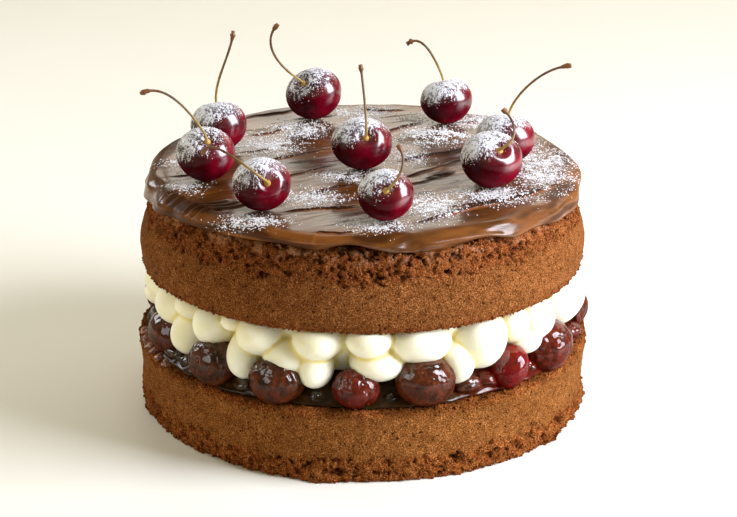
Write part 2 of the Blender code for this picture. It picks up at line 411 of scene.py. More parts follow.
def lathe(line, steps, shape=None):
    # turns (radius, height) pairs, from the axis over the top and down the side to the axis
    angle, row = np.meshgrid(np.arange(steps) * 2 * math.pi / steps, np.arange(1, len(line) - 1))
    radius, height = line[row, 0], line[row, 1]
    if shape:
        radius, height = shape(angle, radius, height)
    rings = onRing(angle, radius, height).reshape(-1, 3)
    points = np.vstack([rings, (0, 0, line[0, 1]), (0, 0, line[-1, 1])])
    rows = len(line) - 2
    faces = ringFaces(rows, steps)
    top, foot, last = rows * steps, rows * steps + 1, (rows - 1) * steps
    for i in range(steps):
        after = (i + 1) % steps
        faces += [(top, i, after), (last + i, foot, last + after)]
    return points, faces


def addPiece(name, mesh, finish, slot, *nodes):
    # one finished piece that stands for its CAD nodes
    if finish and not mesh.materials:
        mesh.materials.append(finish)
    piece = addObject(name, mesh)
    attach(piece, "root")
    if nodes:
        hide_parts(*nodes)
    print(f"{name}: {sum(len(face.vertices) - 2 for face in mesh.polygons)} triangles")
    return piece


def levels(node):
    # a node's lowest and highest height
    low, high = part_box(node)
    return low.z / mm, high.z / mm


def bearingAngle(bearing):
    # the polar angle of a bearing from the front, which is -Y, growing towards +X
    return np.radians(bearing - 90.0)


# Camera, light and floor

camera = {
    "distance": 1300, "elevation": 21, "turnsAbout": (0, 0, 60), "aim": (2.5, 0, 65.7), "lens": 138.2,
}


def addCamera():
    data = bpy.data.cameras.new("camera")
    data.lens, data.sensor_width = camera["lens"], 36
    data.clip_start, data.clip_end = 0.05, 50
    eye = addObject("camera", data)
    tilt = math.radians(camera["elevation"])
    out = Vector((0, -math.cos(tilt), math.sin(tilt))) * camera["distance"]
    eye.location = (Vector(camera["turnsAbout"]) + out) * mm
    look = Vector(camera["aim"]) * mm - eye.location
    eye.rotation_euler = look.to_track_quat("-Z", "Y").to_euler()
    bpy.context.scene.camera = eye


# each light's place as seen from the cake, and whether it lights surfaces or is only mirrored in them
lights = {
    "key": {"bearing": 71, "elevation": 27, "distance": 900, "size": (520, 720), "power": 19.8,
            "colour": (0.97, 1.0, 1.12)},
    "fill": {"bearing": -66, "elevation": 18, "distance": 1000, "size": (380, 700), "power": 3.3,
             "colour": (1.0, 0.89, 0.58), "seenIn": "diffuse"},
    "window": {"bearing": -58, "elevation": 30, "distance": 1000, "size": (520, 620), "power": 3.6,
               "colour": (0.96, 0.97, 0.95), "seenIn": "glossy"},
    "rim": {"bearing": -122, "elevation": 26, "distance": 900, "size": (260, 420), "power": 2.4,
            "colour": (0.93, 0.96, 1.0)},
    "sky": {"bearing": 160, "elevation": 30, "distance": 1300, "size": (1700, 900), "power": 8.2,
            "colour": (1.0, 0.92, 0.81)},
}
room = {
    "strength": 0.20, "colour": (1.0, 0.91, 0.60), "floor": shade(238, 236, 226), "floorSize": 6000,
    "lightsAim": (0, 0, 80),
}


def addLights():
    target = Vector(room["lightsAim"]) * mm
    for name, light in lights.items():
        data = bpy.data.lights.new(name, "AREA")
        data.shape = "RECTANGLE"
        data.size, data.size_y = (side * mm for side in light["size"])
        data.energy, data.color = light["power"], light["colour"]
        lamp = addObject(name, data)
        angle, rise = bearingAngle(light["bearing"]), math.radians(light["elevation"])
        way = Vector((math.cos(angle) * math.cos(rise), math.sin(angle) * math.cos(rise), math.sin(rise)))
        lamp.location = target + way * light["distance"] * mm
        lamp.rotation_euler = (-way).to_track_quat("-Z", "Y").to_euler()
        lamp.visible_camera = False
        lamp.visible_diffuse = light.get("seenIn", "diffuse") == "diffuse"
        lamp.visible_glossy = light.get("seenIn", "glossy") == "glossy"
    world = bpy.data.worlds.new("room")
    world.use_nodes = True
    back = world.node_tree.nodes["Background"]
    back.inputs["Color"].default_value = (*room["colour"], 1.0)
    back.inputs["Strength"].default_value = room["strength"]
    bpy.context.scene.world = world
    bpy.context.scene.view_settings.view_transform = "Standard"


def addFloor():
    finish, shader, spot = newFinish("floor", Roughness=0.55)
    feed(shader, Base_Color=blend(mottle(spot, 60.0), room["floor"], shade(233, 231, 221)))
    half = room["floorSize"] / 2
    corners = [(-half, -half, 0), (half, -half, 0), (half, half, 0), (-half, half, 0)]
    mesh = newMesh("floor", corners, [(0, 1, 2, 3)])
    mesh.materials.append(finish)
    addObject("floor", mesh)


# Chocolate sponge

sponge = {
    "stepsRound": 980, "rowSpacing": 0.58,
    "lower": [(0, 33.8), (60, 33.8), (86, 33.8), (95, 33.8), (99.9, 33.7), (102.2, 32.8), (102.9, 30.2),
              (102.5, 27), (102.0, 24), (101.6, 14), (101.5, 6), (101.4, 2.6), (100.9, 0.6), (99.2, 0),
              (60, 0), (0, 0)],
    "upper": [(0, 105.5), (60, 105.5), (84, 105.5), (90, 105.3), (93.4, 104.4), (95.1, 102.2), (95.8, 99),
              (96.8, 95), (99.5, 87.5), (101.2, 80), (100.9, 75.5), (100.5, 71.5), (99.6, 69.4),
              (98.2, 68.6), (95.5, 68.5), (60, 68.5), (0, 68.5)],
    "flatRings": 2,  # how many knots at each end are plain flat rings
    "crumbFrom": 86.0,  # nearer to the axis the sponge is hidden and stays plain
    # on the lower layer, where crumb is torn out and where it stands out: bearing, height, wide, tall, deep
    "bites": [
        (60, 5.5, 7, 4.0, 3.4), (57.5, 0, 7, 2.6, -3.6), (-11, 0, 6, 3.6, -2.8), (-27, 7, 4, 2.6, 1.8),
        (-13, 8, 3.5, 2.4, 1.8), (33, 4, 4, 2.2, 1.6),
    ],
}
crumbSizes = {
    "Grain size": 1.4, "Grain depth": 0.22, "Clump size": 4.4, "Clump depth": 0.34,
    "Fine hole spacing": 1.9, "Fine hole depth": 0.36, "Open hole spacing": 3.7, "Open hole depth": 2.4,
    "Open band low": 0.0, "Open band high": 10.0, "Band softness": 4.0,
    "Edge low": 0.0, "Edge high": 34.0, "Edge roughness": 1.0,
}


def crumbTree(finish):
    # opens a smooth sponge into crumb: grain, clumps, small holes all over and large ones in a band
    tree, wires = newTree("crumb", crumbSizes)
    spot = stretched(addNode(tree, "GeometryNodeInputPosition"), (1000.0,) * 3)
    height = part(spot, "Z")
    wander = (mottle(spot, 11.0, 2.0) - 0.5) * 12.0
    level, soft = height + wander, wires["Band softness"]
    low, high = wires["Open band low"], wires["Open band high"]
    openBand = fade(level, low - soft, low) * fadeOut(level, high, high + soft)
    openBand = openBand * (0.5 + 0.5 * fade(mottle(spot, 16.0, 1.0), 0.36, 0.6))
    grain = mottle(spot, wires["Grain size"], 2.0) - 0.5
    clump = mottle(elsewhere(spot, 31.0), wires["Clump size"], 2.0) - 0.5
    fine = holes(spot, wires["Fine hole spacing"], 0.42)
    spacing = wires["Open hole spacing"]
    large = larger(holes(spot, spacing, 0.75, 40.0), holes(spot, spacing * 0.6, 0.6, 52.0) * 0.6) * openBand
    torn = mottle(elsewhere(spot, 53.0), spacing, 3.0, 0.62)
    cave, lump = fadeOut(torn, 0.36, 0.46) * openBand, fade(torn, 0.54, 0.66) * openBand
    nearEdge = larger(*(fadeOut(abs(height - wires[edge]) + wander * 0.15, 1.0, 4.2)
                        for edge in ("Edge low", "Edge high")))
    ragged = (mottle(elsewhere(spot, 77.0), 2.6, 3.0, 0.65) - 0.5) * nearEdge
    rise = grain * 2.0 * wires["Grain depth"] * (1.0 + 2.6 * openBand) + (
        clump * 2.0 * wires["Clump depth"] * (1.0 + 2.8 * openBand))
    sunk = fine * wires["Fine hole depth"] + (large * 0.6 + cave) * wires["Open hole depth"] - lump * 0.8
    push = scaled(addNode(tree, "GeometryNodeInputNormal"),
                  (rise - sunk + ragged * 2.0 * wires["Edge roughness"]) * mm)
    radius = vector(tree, "LENGTH", {0: stretched(spot, (1.0, 1.0, 0.0))}, "Value")
    outside = addNode(tree, "ShaderNodeMath", {"operation": "GREATER_THAN"},
                      {0: radius, 1: sponge["crumbFrom"]})
    # the depth of the holes, which the finish paints dark as painted shade inside them
    kept = storeField(wires["Geometry"], "pitShade", smaller(fine * 0.35 + large * 0.8 + cave * 0.8, 1.0))
    kept = storeField(storeField(kept, "open", openBand), "edge", nearEdge)
    values = {"Geometry": kept, "Selection": outside, "Offset": push}
    endTree(addNode(tree, "GeometryNodeSetPosition", None, values), finish)
    return tree


def spongeFinish():
    made, shader, spot = newFinish("chocolateSponge", Roughness=0.95, IOR=1.36, Specular_IOR_Level=0.08)
    grain = mottle(spot, 0.56, 2.0, 0.6)
    fleck = mottle(elsewhere(spot, 9.0), 0.34, 2.0, 0.6)
    middle = mottle(spot, 3.2, 2.0)
    pitShade, opened, edge = (painted(spot.tree, name) for name in ("pitShade", "open", "edge"))
    mix = grain * 0.46 + fleck * 0.42 + middle * 0.12
    crust = ramp(mix, (0.38, shade(50, 23, 6)), (0.46, shade(108, 61, 24)), (0.54, shade(148, 91, 41)),
                 (0.63, shade(206, 146, 86)))
    torn = ramp(mix, (0.38, shade(36, 13, 3)), (0.46, shade(104, 47, 16)), (0.54, shade(156, 84, 36)),
                (0.63, shade(218, 148, 84)))
    colour = blend(larger(opened * 0.9, edge * 0.85), crust, torn)
    colour = blend(fade(mottle(spot, 15.0, 3.0), 0.32, 0.68) * 0.22, colour, shade(90, 49, 15))
    height = part(spot, "Z")
    # painted shade: from 40 mm up, and fully from 60 mm, the sponge is multiplied a little darker, so the
    # lower layer looks lit by more light from the pale floor
    colour = blend(fade(height, 40.0, 60.0), colour, shade(243, 240, 252), "MULTIPLY")
    pale = fade(height, 97.0, 103.0) * fade(mottle(spot, 4.2, 2.0), 0.50, 0.60)
    colour = blend(pale * 0.4, colour, shade(192, 144, 112))
    # jam has soaked into the upper edge of the lower layer here and there
    soaked = fade(height, 28.0, 33.5) * fadeOut(height, 40.0, 41.0)
    soaked = soaked * fade(mottle(spot, 14.0, 2.0), 0.42, 0.60)
    colour = blend(soaked * 0.6, colour, shade(70, 41, 8))
    # painted shade: small holes all over, coloured dark as the shade inside them; the bump below sinks them
    # too
    specks = holes(spot, 1.9, 0.24, 5.0)
    colour = blend(specks * 0.85, colour, shade(34, 14, 4))
    # painted shade: the deeper holes are coloured dark
    colour = blend(pitShade * 0.92, colour, shade(40, 13, 4))
    tinyHoles = holes(spot, 0.9, 0.40, 15.0)
    relief = grain * 0.8 + fleck * 0.6 + middle * 0.25 - tinyHoles * 0.6 - specks * 0.7
    feed(shader, Base_Color=colour, Normal=bump(relief, 0.78))
    return made


def spongeShape(ripples, bites=()):
    # ripples round the side, and bites measured along it, where a radian is about 100 mm long
    def shape(angle, radius, height):
        phase, counts, turn, finePhase, fineCounts = ripples
        out = phase[0] * ripple(angle, phase[1], counts)
        out = out + finePhase[0] * ripple(angle + height / turn, finePhase[1], fineCounts)
        radius = radius + out * (radius / 101.5) ** 3
        for bearing, level, wide, tall, deep in bites:
            turned = (angle - bearingAngle(bearing) + math.pi) % (2 * math.pi) - math.pi
            away = (turned * 100 / wide) ** 2 + ((height - level) / tall) ** 2
            radius = radius - deep * np.exp(-away) * (radius > 90)
        return radius, height
    return shape


def spongeLine(knots):
    # plain rings on the hidden flats, close rows down the side
    flat = sponge["flatRings"]
    side = smoothLine(knots[flat:-flat], sponge["rowSpacing"])
    return np.vstack([knots[:flat], side, knots[-flat:]])


def addSponges():
    finish = spongeFinish()
    tree = crumbTree(finish)
    lowFoot, lowTop = levels("lower_sponge")
    upFoot, _ = levels("upper_sponge")
    lowerShape = spongeShape(((0.9, 0.7), (2, 3, 5), 40, (0.5, 2.1), (7, 11)), sponge["bites"])
    upperShape = spongeShape(((0.8, 1.9), (2, 3, 4), -50, (0.4, 0.4), (7, 9)))
    # the crumb is open at the foot of the lower layer and at the top of the upper one, whose upper edge
    # is out of reach under the icing
    lowerSizes = {"Open band low": -6.0, "Open band high": 9.0, "Edge low": lowFoot, "Edge high": lowTop}
    upperSizes = {"Open band low": 93.0, "Open band high": 112.0, "Edge low": upFoot, "Edge high": 130.0}
    made = []
    for name, shape, sizes in (("lower", lowerShape, lowerSizes), ("upper", upperShape, upperSizes)):
        node = name + "_sponge"
        points, faces = lathe(spongeLine(sponge[name]), sponge["stepsRound"], shape)
        mesh = grown(newMesh(node + "_crumb", points, faces), tree, sizes)
        aboveFloor(mesh)
        mesh.shade_smooth()
        addPiece(node + "_crumb", mesh, finish, "chocolate_sponge", node)
        made.append(mesh)
    return made


crumbs = {"Grains per cm2": 22.0, "Smallest": 0.5, "Largest": 1.6, "Lift": 0.2, "Seed": 12}
crumbsFrom = 94.5  # there are none nearer to the axis than this


def addCrumbs(layers):
    # loose crumbs along the torn edges and in the open crumb
    finish = layers[0].materials[0]
    tree = scatterTree("looseCrumbs", finish, 5, 3)
    whole = bmesh.new()
    for number, mesh in enumerate(layers):
        outside = [vertex.co.xy.length > crumbsFrom * mm for vertex in mesh.vertices]
        bed = mesh.copy()
        paint(bed, "amount", np.clip(field(mesh, "edge") + 0.35 * field(mesh, "open"), 0, 1) * outside)
        whole.from_mesh(grown(bed, tree, {**crumbs, "Seed": crumbs["Seed"] + number}))
    mesh = bpy.data.meshes.new("loose_crumbs")
    whole.to_mesh(mesh)
    whole.free()
    aboveFloor(mesh)
    mesh.shade_smooth()
    addPiece("loose_crumbs", mesh, finish, "chocolate_sponge")


moist = {  # a row of jammy crumbs on the rim of the lower layer
    "bearings": (-84, -79, -74.5, -70, -65.5, -61), "ring": 99.6, "level": 34.0, "size": (3.2, 2.1, 1.9),
}


def addMoistCrumbs():
    made, shader, spot = newFinish("moistCrumb", Roughness=0.5, IOR=1.4, Coat_Roughness=0.12, Coat_IOR=1.6)
    tone = mottle(spot, 1.6, 3.0, 0.6)
    colour = blend(fade(tone, 0.36, 0.62), shade(70, 34, 18), shade(164, 112, 88))
    feed(shader, Base_Color=colour, Coat_Weight=0.2 + 0.6 * fade(tone, 0.45, 0.6),
         Normal=bump(tone, 0.6, 0.9))
    unit, ballFaces = unitBall(32, 20)
    lumps = []
    for number, bearing in enumerate(moist["bearings"]):
        swell = 1 + 0.30 * softNoise(unit, 0.7, 120 + number) + 0.14 * softNoise(unit, 0.3, 140 + number)
        lump = unit * swell[:, None] * np.array(moist["size"])
        lumps.append((atRim(lump, bearing, moist["ring"], moist["level"]), ballFaces))
    addPiece("moist_crumbs", newMesh("moist_crumbs", *joined(lumps)), made, "chocolate_sponge")


# Chocolate icing

icing = {
    "cells": 240, "flatRadius": 90.0, "lipRows": 30, "strokeTurn": 25.0, "edgeRadius": 98.3, "lipDrop": 1.4,
    "underside": 103.0, "sugarFades": (106, 109),
    # runs of the spreading knife: from x, y, to x, y, bow to the front, rise
    "ridges": [
        (22, -78, 92, -22, 1.5, 1.5), (36, -60, 66, -47, 0.8, 0.7), (-36, -62, 2, -55, 1.0, 0.9),
        (18, -30, 44, -10, 0.5, 0.9), (-24, -40, -2, -27, 0.5, 1.6), (18, -20, 48, 8, 1.0, 1.3),
        (-38, -20, -12, -1, 0.5, 0.9), (16, 2, 54, 26, 1.0, 1.8), (-44, 6, -10, 25, 1.0, 1.1),
        (8, 43, 28, 62, 0.5, 1.2), (-52, 40, -34, 55, 1.0, 0.9), (-2, 82, 22, 81, 1.0, 0.9),
        (-60, 67, -30, 83, 1.0, 0.9), (-88, -18, -58, -2, 1.0, 0.7), (60, 40, 84, 52, 1.0, 0.7),
        (-84, 30, -52, 48, 1.0, 0.7), (62, -44, 80, -33, 1.0, 0.7), (-76, -63, -58, -61, 0.6, 0.9),
        (-22, -88, -2, -86, 0.6, 0.8), (-14, -60, 0, -54, 0.4, 0.8), (27, -22, 42, -11, 0.5, 0.9),
        (-58, 14, -30, 30, 0.8, 0.6), (44, 60, 66, 66, 0.6, 0.8), (-34, 66, -10, 74, 0.6, 0.7),
    ],
    "swirl": {"place": (-70, -46), "inner": 4.0, "outer": 17.0, "pitch": 3.3, "rise": 1.15},
    "mound": {"place": (34, 38), "half": (18, 14), "rise": 2.8},
    "bead": {"place": (-83.5, 49), "radius": 1.9, "rise": 2.6},
    # the lower edge of the lip: bearing, height
    "lip": [
        (-84, 101.5), (-76, 101.4), (-65, 103.8), (-51, 106), (-38, 106.8), (-32, 107.6), (-26, 108),
        (-20, 107.6), (-14, 106.6), (-10, 107.2), (-6, 109.2), (-2, 109.4), (3, 107.4), (8, 105.6),
        (14, 105.2), (21, 105.4), (26, 106.2), (31, 107.6), (35, 107.4), (40, 104.9), (43, 103.9),
        (47, 105.0), (55, 103.6), (61, 102.4), (68, 101.8), (80, 102.4), (92, 104.2), (104, 102.2),
        (118, 104.8), (131, 102.6), (146, 105.2), (159, 103.0), (174, 105.4), (188, 103.4), (203, 105.8),
        (216, 103.2), (231, 105.0), (244, 102.4), (256, 104.4), (266, 102.2),
    ],
    # places where the lip swells outwards or draws in: bearing, half width in degrees, out
    "bulges": [
        (-82, 3.5, 0.9), (-75, 3, -1.2), (-67, 4, 1.0), (-59, 3, -1.1), (-51, 4, 0.9), (-30, 7, 0.3),
        (-12, 5, 1.1), (-3, 3.5, -0.5), (7, 5, 0.8), (17, 5, 1.0), (31, 4, -0.5), (40, 5, 1.0),
        (50, 4, -0.5), (60, 5, 0.6), (74, 5, 0.9), (84, 4, -0.8), (97, 6, 0.9), (113, 5, -0.8),
        (128, 6, 0.8), (143, 5, -0.9), (160, 6, 0.9), (176, 5, -0.6), (192, 6, 0.8), (208, 5, -0.9),
        (224, 6, 0.9), (240, 5, -0.7), (256, 6, 0.9),
    ],
    # flatter places of the lip: bearing, half width, how much they shine
    "facets": [(37, 6, 0.9), (-70, 3.5, 0.35), (-83, 3, 0.25), (12, 3, 0.8), (118, 6, 0.8), (205, 7, 0.8)],
    # where the folds of the lip shine: bearing, half width
    "glints": [(-72, 22), (8, 16), (60, 12), (150, 30), (225, 24)],
}


def ridgeHeight(x, y):
    # each run of the knife leaves a step that is steep in front and eases off behind. Also how far each
    # place is behind the nearest run, and how strong that run is there.
    total, nearest, strength = np.zeros_like(x), np.full_like(x, 9.0), np.zeros_like(x)
    for x0, y0, x1, y1, bow, rise in icing["ridges"]:
        length = math.hypot(x1 - x0, y1 - y0)
        ax, ay = (x1 - x0) / length, (y1 - y0) / length
        along = ((x - x0) * ax + (y - y0) * ay) / length
        behind = (y - y0) * ax - (x - x0) * ay + bow * (1 - (2 * along - 1) ** 2)
        behind = behind + 0.7 * np.sin(along * 7 + x0) + 0.25 * np.sin(along * 23 + y0)
        reach = smoothStep(along, -0.08, 0.22) * (1 - smoothStep(along, 0.7, 1.08))
        total += 0.72 * rise * reach * smoothStep(behind, -0.6, 0.2) * np.exp(-np.maximum(behind, 0) / 9)
        closer = (np.abs(behind) < np.abs(nearest)) & (reach > 0.01)
        nearest = np.where(closer, behind, nearest)
        strength = np.where(closer, reach * min(rise, 1.3) / 1.3, strength)
    return total, nearest, strength


def swirlWaves(x, y):
    # how much each place belongs to the swirl, and its waves from 0 to 1
    swirl = icing["swirl"]
    dx, dy = x - swirl["place"][0], y - swirl["place"][1]
    dx = np.where(dx > 0, dx * 0.66, dx)
    radius, angle = np.hypot(dx, dy), np.degrees(np.arctan2(dy, dx)) % 360
    turned = smoothStep(angle, 120, 165) * (1 - smoothStep(angle, 330, 358))
    ring = smoothStep(radius, swirl["inner"], swirl["inner"] + 3) * (
        1 - smoothStep(radius, swirl["outer"] - 2, swirl["outer"] + 1))
    waves = 0.5 + 0.5 * np.cos(2 * math.pi * (radius + angle / 140) / swirl["pitch"])
    return turned * ring, waves


def moundHeight(x, y):
    mound = icing["mound"]
    dx, dy = (x - mound["place"][0]) / mound["half"][0], (y - mound["place"][1]) / mound["half"][1]
    dy = dy + 0.28 * dx * dx
    inside = np.clip(1 - dx * dx - np.where(dy < 0, dy * dy, 1.6 * dy * dy), 0, 1)
    return mound["rise"] * inside ** 0.7 * (0.62 + 0.38 * np.cos(dy * 5.0))


def icingTop(x, y, top):
    # the height of the spread icing at each place
    points = np.stack([x, y, np.zeros_like(x)], axis=-1)
    turn = math.radians(icing["strokeTurn"])
    u, v = x * math.cos(turn) + y * math.sin(turn), y * math.cos(turn) - x * math.sin(turn)
    sweep = np.stack([u, v + 2.5 * softNoise(points, 60, 3), np.zeros_like(x)], axis=-1)
    radius = np.hypot(x, y)
    height = top - 1.3 - 0.5 * smoothStep(radius, 60, 90)
    height = height + 0.45 * softNoise(points, 34, 1) + 0.34 * softNoise(sweep, (46, 11, 1), 2)
    height = height + 0.14 * softNoise(sweep, (26, 3.4, 1), 4) + 0.06 * softNoise(sweep, (16, 1.7, 1), 5)
    calm = 1 - np.exp(-(((x + 70) / 16) ** 2 + ((y + 46) / 14) ** 2))
    ridges, nearest, strength = ridgeHeight(x, y)
    inside, waves = swirlWaves(x, y)
    height = height + ridges * calm + icing["swirl"]["rise"] * inside * waves + moundHeight(x, y)
    bead = icing["bead"]
    away = np.hypot(x - bead["place"][0], y - bead["place"][1]) / bead["radius"]
    height = height + bead["rise"] * np.sqrt(np.clip(1 - away ** 2, 0, 1))
    rim = np.exp(-((radius - 90) / 5) ** 2)
    return height + rim * (0.25 + 0.6 * softNoise(points, (15, 15, 1), 6)), nearest, strength * calm


def sugarAmount(x, y):
    # icing sugar lies in splashes round the cherries: place, half widths, amount
    points = np.stack([x, y, np.zeros_like(x)], axis=-1)
    total = np.zeros_like(x)
    for px, py, halfX, halfY, amount in sugar["splashes"]:
        away = ((x - px) / halfX) ** 2 + ((y - py) / halfY) ** 2
        total = np.maximum(total, amount * np.exp(-(1.3 * away) ** 1.25))
    ragged = 1 + 0.55 * softNoise(points, 7, 8) + 0.35 * softNoise(points, 2.6, 9)
    return np.clip(total * ragged, 0, 1)


def squareDisc(cells, radius):
    # a square grid pressed into a disc, so that its faces stay even from the middle to the edge
    a, b = np.meshgrid(np.linspace(-1, 1, cells + 1), np.linspace(-1, 1, cells + 1), indexing="ij")
    wide = np.abs(a) > np.abs(b)
    safeA, safeB = np.where(a == 0, 1, a), np.where(b == 0, 1, b)
    reach = np.where(wide, a, b)
    angle = np.where(wide, (math.pi / 4) * (b / safeA), math.pi / 2 - (math.pi / 4) * (a / safeB))
    return reach * np.cos(angle) * radius, reach * np.sin(angle) * radius


def aroundCake(angle, places):
    # a smooth run through (bearing, value) pairs all the way round
    bearing = np.degrees(angle) + 90
    stops, values = np.array(places).T
    order = np.argsort(stops % 360)
    return sum(np.interp((bearing + turn) % 360, (stops % 360)[order], values[order], period=360)
               for turn in (-2.0, -1.0, 0.0, 1.0, 2.0)) / 5


def bumpsAround(angle, places):
    # the sum of soft bumps: bearing, half width in degrees, height
    bearing = np.degrees(angle) + 90
    return sum(height * np.exp(-((((bearing - middle + 180) % 360 - 180) / half) ** 2))
               for middle, half, height in places)


def lipStrip(angle, rimZ):
    # rows of points down the outside of the lip, under it and back up behind it, and the noise that folds
    # them, which the finish also paints as light and dark reflection streaks along the lip
    lip = aroundCake(angle, icing["lip"]) - icing["lipDrop"]
    out = 0.7 * np.cos(2 * angle) + 0.5 * ripple(angle, 2.6, (4, 7, 9)) + bumpsAround(angle, icing["bulges"])
    radius = icing["edgeRadius"] + out - 0.8
    first = (np.full_like(radius, icing["flatRadius"]), rimZ)
    last = [(radius - 1.5, lip), (radius - 2.9, lip + 0.9), (radius - 4.4, lip + 2.0)]
    rounded = [first, (radius - 5.0, rimZ - 0.35), (radius - 1.7, rimZ - 2.2),
               (radius - 0.1, (rimZ + lip) / 2 + 0.3), (radius + 0.4, lip + 2.0),
               (radius - 0.2, lip + 0.5), *last]
    flatter = [first, (radius - 5.2, rimZ - 0.1), (radius - 3.0, rimZ - 1.2), (radius - 1.1, rimZ - 3.6),
               (radius + 0.5, lip + 1.5), (radius, lip + 0.4), *last]
    facet = np.clip(bumpsAround(angle, [(*place[:2], 1.0) for place in icing["facets"]]), 0, 1)[:, None]
    knots = np.stack([np.stack(a, -1) * (1 - facet) + np.stack(b, -1) * facet
                      for a, b in zip(rounded, flatter)])
    rows = icing["lipRows"]
    ends = np.concatenate([2 * knots[:1] - knots[1:2], knots, 2 * knots[-1:] - knots[-2:-1]])
    strip = []
    for stop in np.linspace(0, len(knots) - 1, rows + 1)[1:]:
        i = min(int(stop), len(knots) - 2)
        strip.append(between(*ends[i:i + 4], stop - i))
    strip = np.array(strip)
    place = onRing(angle, strip[..., 0], strip[..., 1])
    share = np.linspace(0, 1, rows)[:, None]
    foldAndPaintedReflection = softNoise(place, (17, 17, 2.6), 13) + 0.5 * softNoise(place, (8, 8, 1.4), 14)
    swell = 0.60 * softNoise(place, (14, 14, 3.4), 11) + 0.36 * foldAndPaintedReflection
    grow = smoothStep(share, 0.0, 0.35) * (1 - smoothStep(share, 0.8, 1.0)) * (1 - 0.8 * facet.T)
    return onRing(angle, strip[..., 0] + swell * grow, strip[..., 1]).reshape(-1, 3), foldAndPaintedReflection.ravel()


def icingMesh():
    top = levels("chocolate_icing")[1]
    cells = icing["cells"]
    x, y = squareDisc(cells, icing["flatRadius"])
    height, nearest, strength = icingTop(x, y, top)
    disc = np.stack([x, y, height], axis=-1).reshape(-1, 3)
    index = np.arange((cells + 1) ** 2).reshape(cells + 1, cells + 1)
    squares = np.stack([index[:-1, :-1], index[1:, :-1], index[1:, 1:], index[:-1, 1:]], axis=-1)
    faces = squares.reshape(-1, 4).tolist()
    edge = np.concatenate([index[:-1, 0], index[-1, :-1], index[:0:-1, -1], index[0, :0:-1]])
    strip, foldAndPaintedReflection = lipStrip(np.arctan2(disc[edge, 1], disc[edge, 0]), disc[edge, 2])
    steps, first, middle = len(edge), len(disc), len(disc) + len(strip)
    here = np.arange(steps)
    after = np.roll(here, -1)
    faces += np.column_stack([edge, first + here, first + after, edge[after]]).tolist()
    faces += ringFaces(icing["lipRows"], steps, first)
    faces += [(middle - steps + i, middle, middle - steps + (i + 1) % steps) for i in range(steps)]
    points = np.vstack([disc, strip, [[0, 0, icing["underside"]]]])
    x, y, z = points.T
    radius, angle = np.hypot(x, y), np.arctan2(y, x)
    inside, waves = swirlWaves(x, y)
    # the fold noise is kept on the points for the finish's painted reflection streaks on the lip
    folds = np.concatenate([np.full(first, 0.5), smoothStep(foldAndPaintedReflection, -0.45, 0.45), [0.5]])
    sheen = (1 - smoothStep(radius, 86.5, 91)) * (1 - 0.9 * inside * (1 - waves))
    sheen = sheen * (1 - 0.3 * smoothStep(x, 25, 75))
    glint = np.clip(bumpsAround(angle, [(*place, 1.0) for place in icing["glints"]]), 0, 1)
    sheen = np.maximum(sheen, glint * smoothStep(folds, 0.55, 0.85) * smoothStep(radius, 88, 92))
    sheen = np.maximum(sheen, np.clip(bumpsAround(angle, icing["facets"]), 0, 1))
    rest = len(points) - first
    return newMesh("chocolate_icing_spread", points, faces, {
        "amount": sugarAmount(x, y) * smoothStep(z, *icing["sugarFades"]), "sheen": sheen, "foldAndPaintedReflection": folds,
        "mark": np.concatenate([strength.ravel(), np.zeros(rest)]),
        "behind": np.concatenate([nearest.ravel(), np.full(rest, 9.0)])})


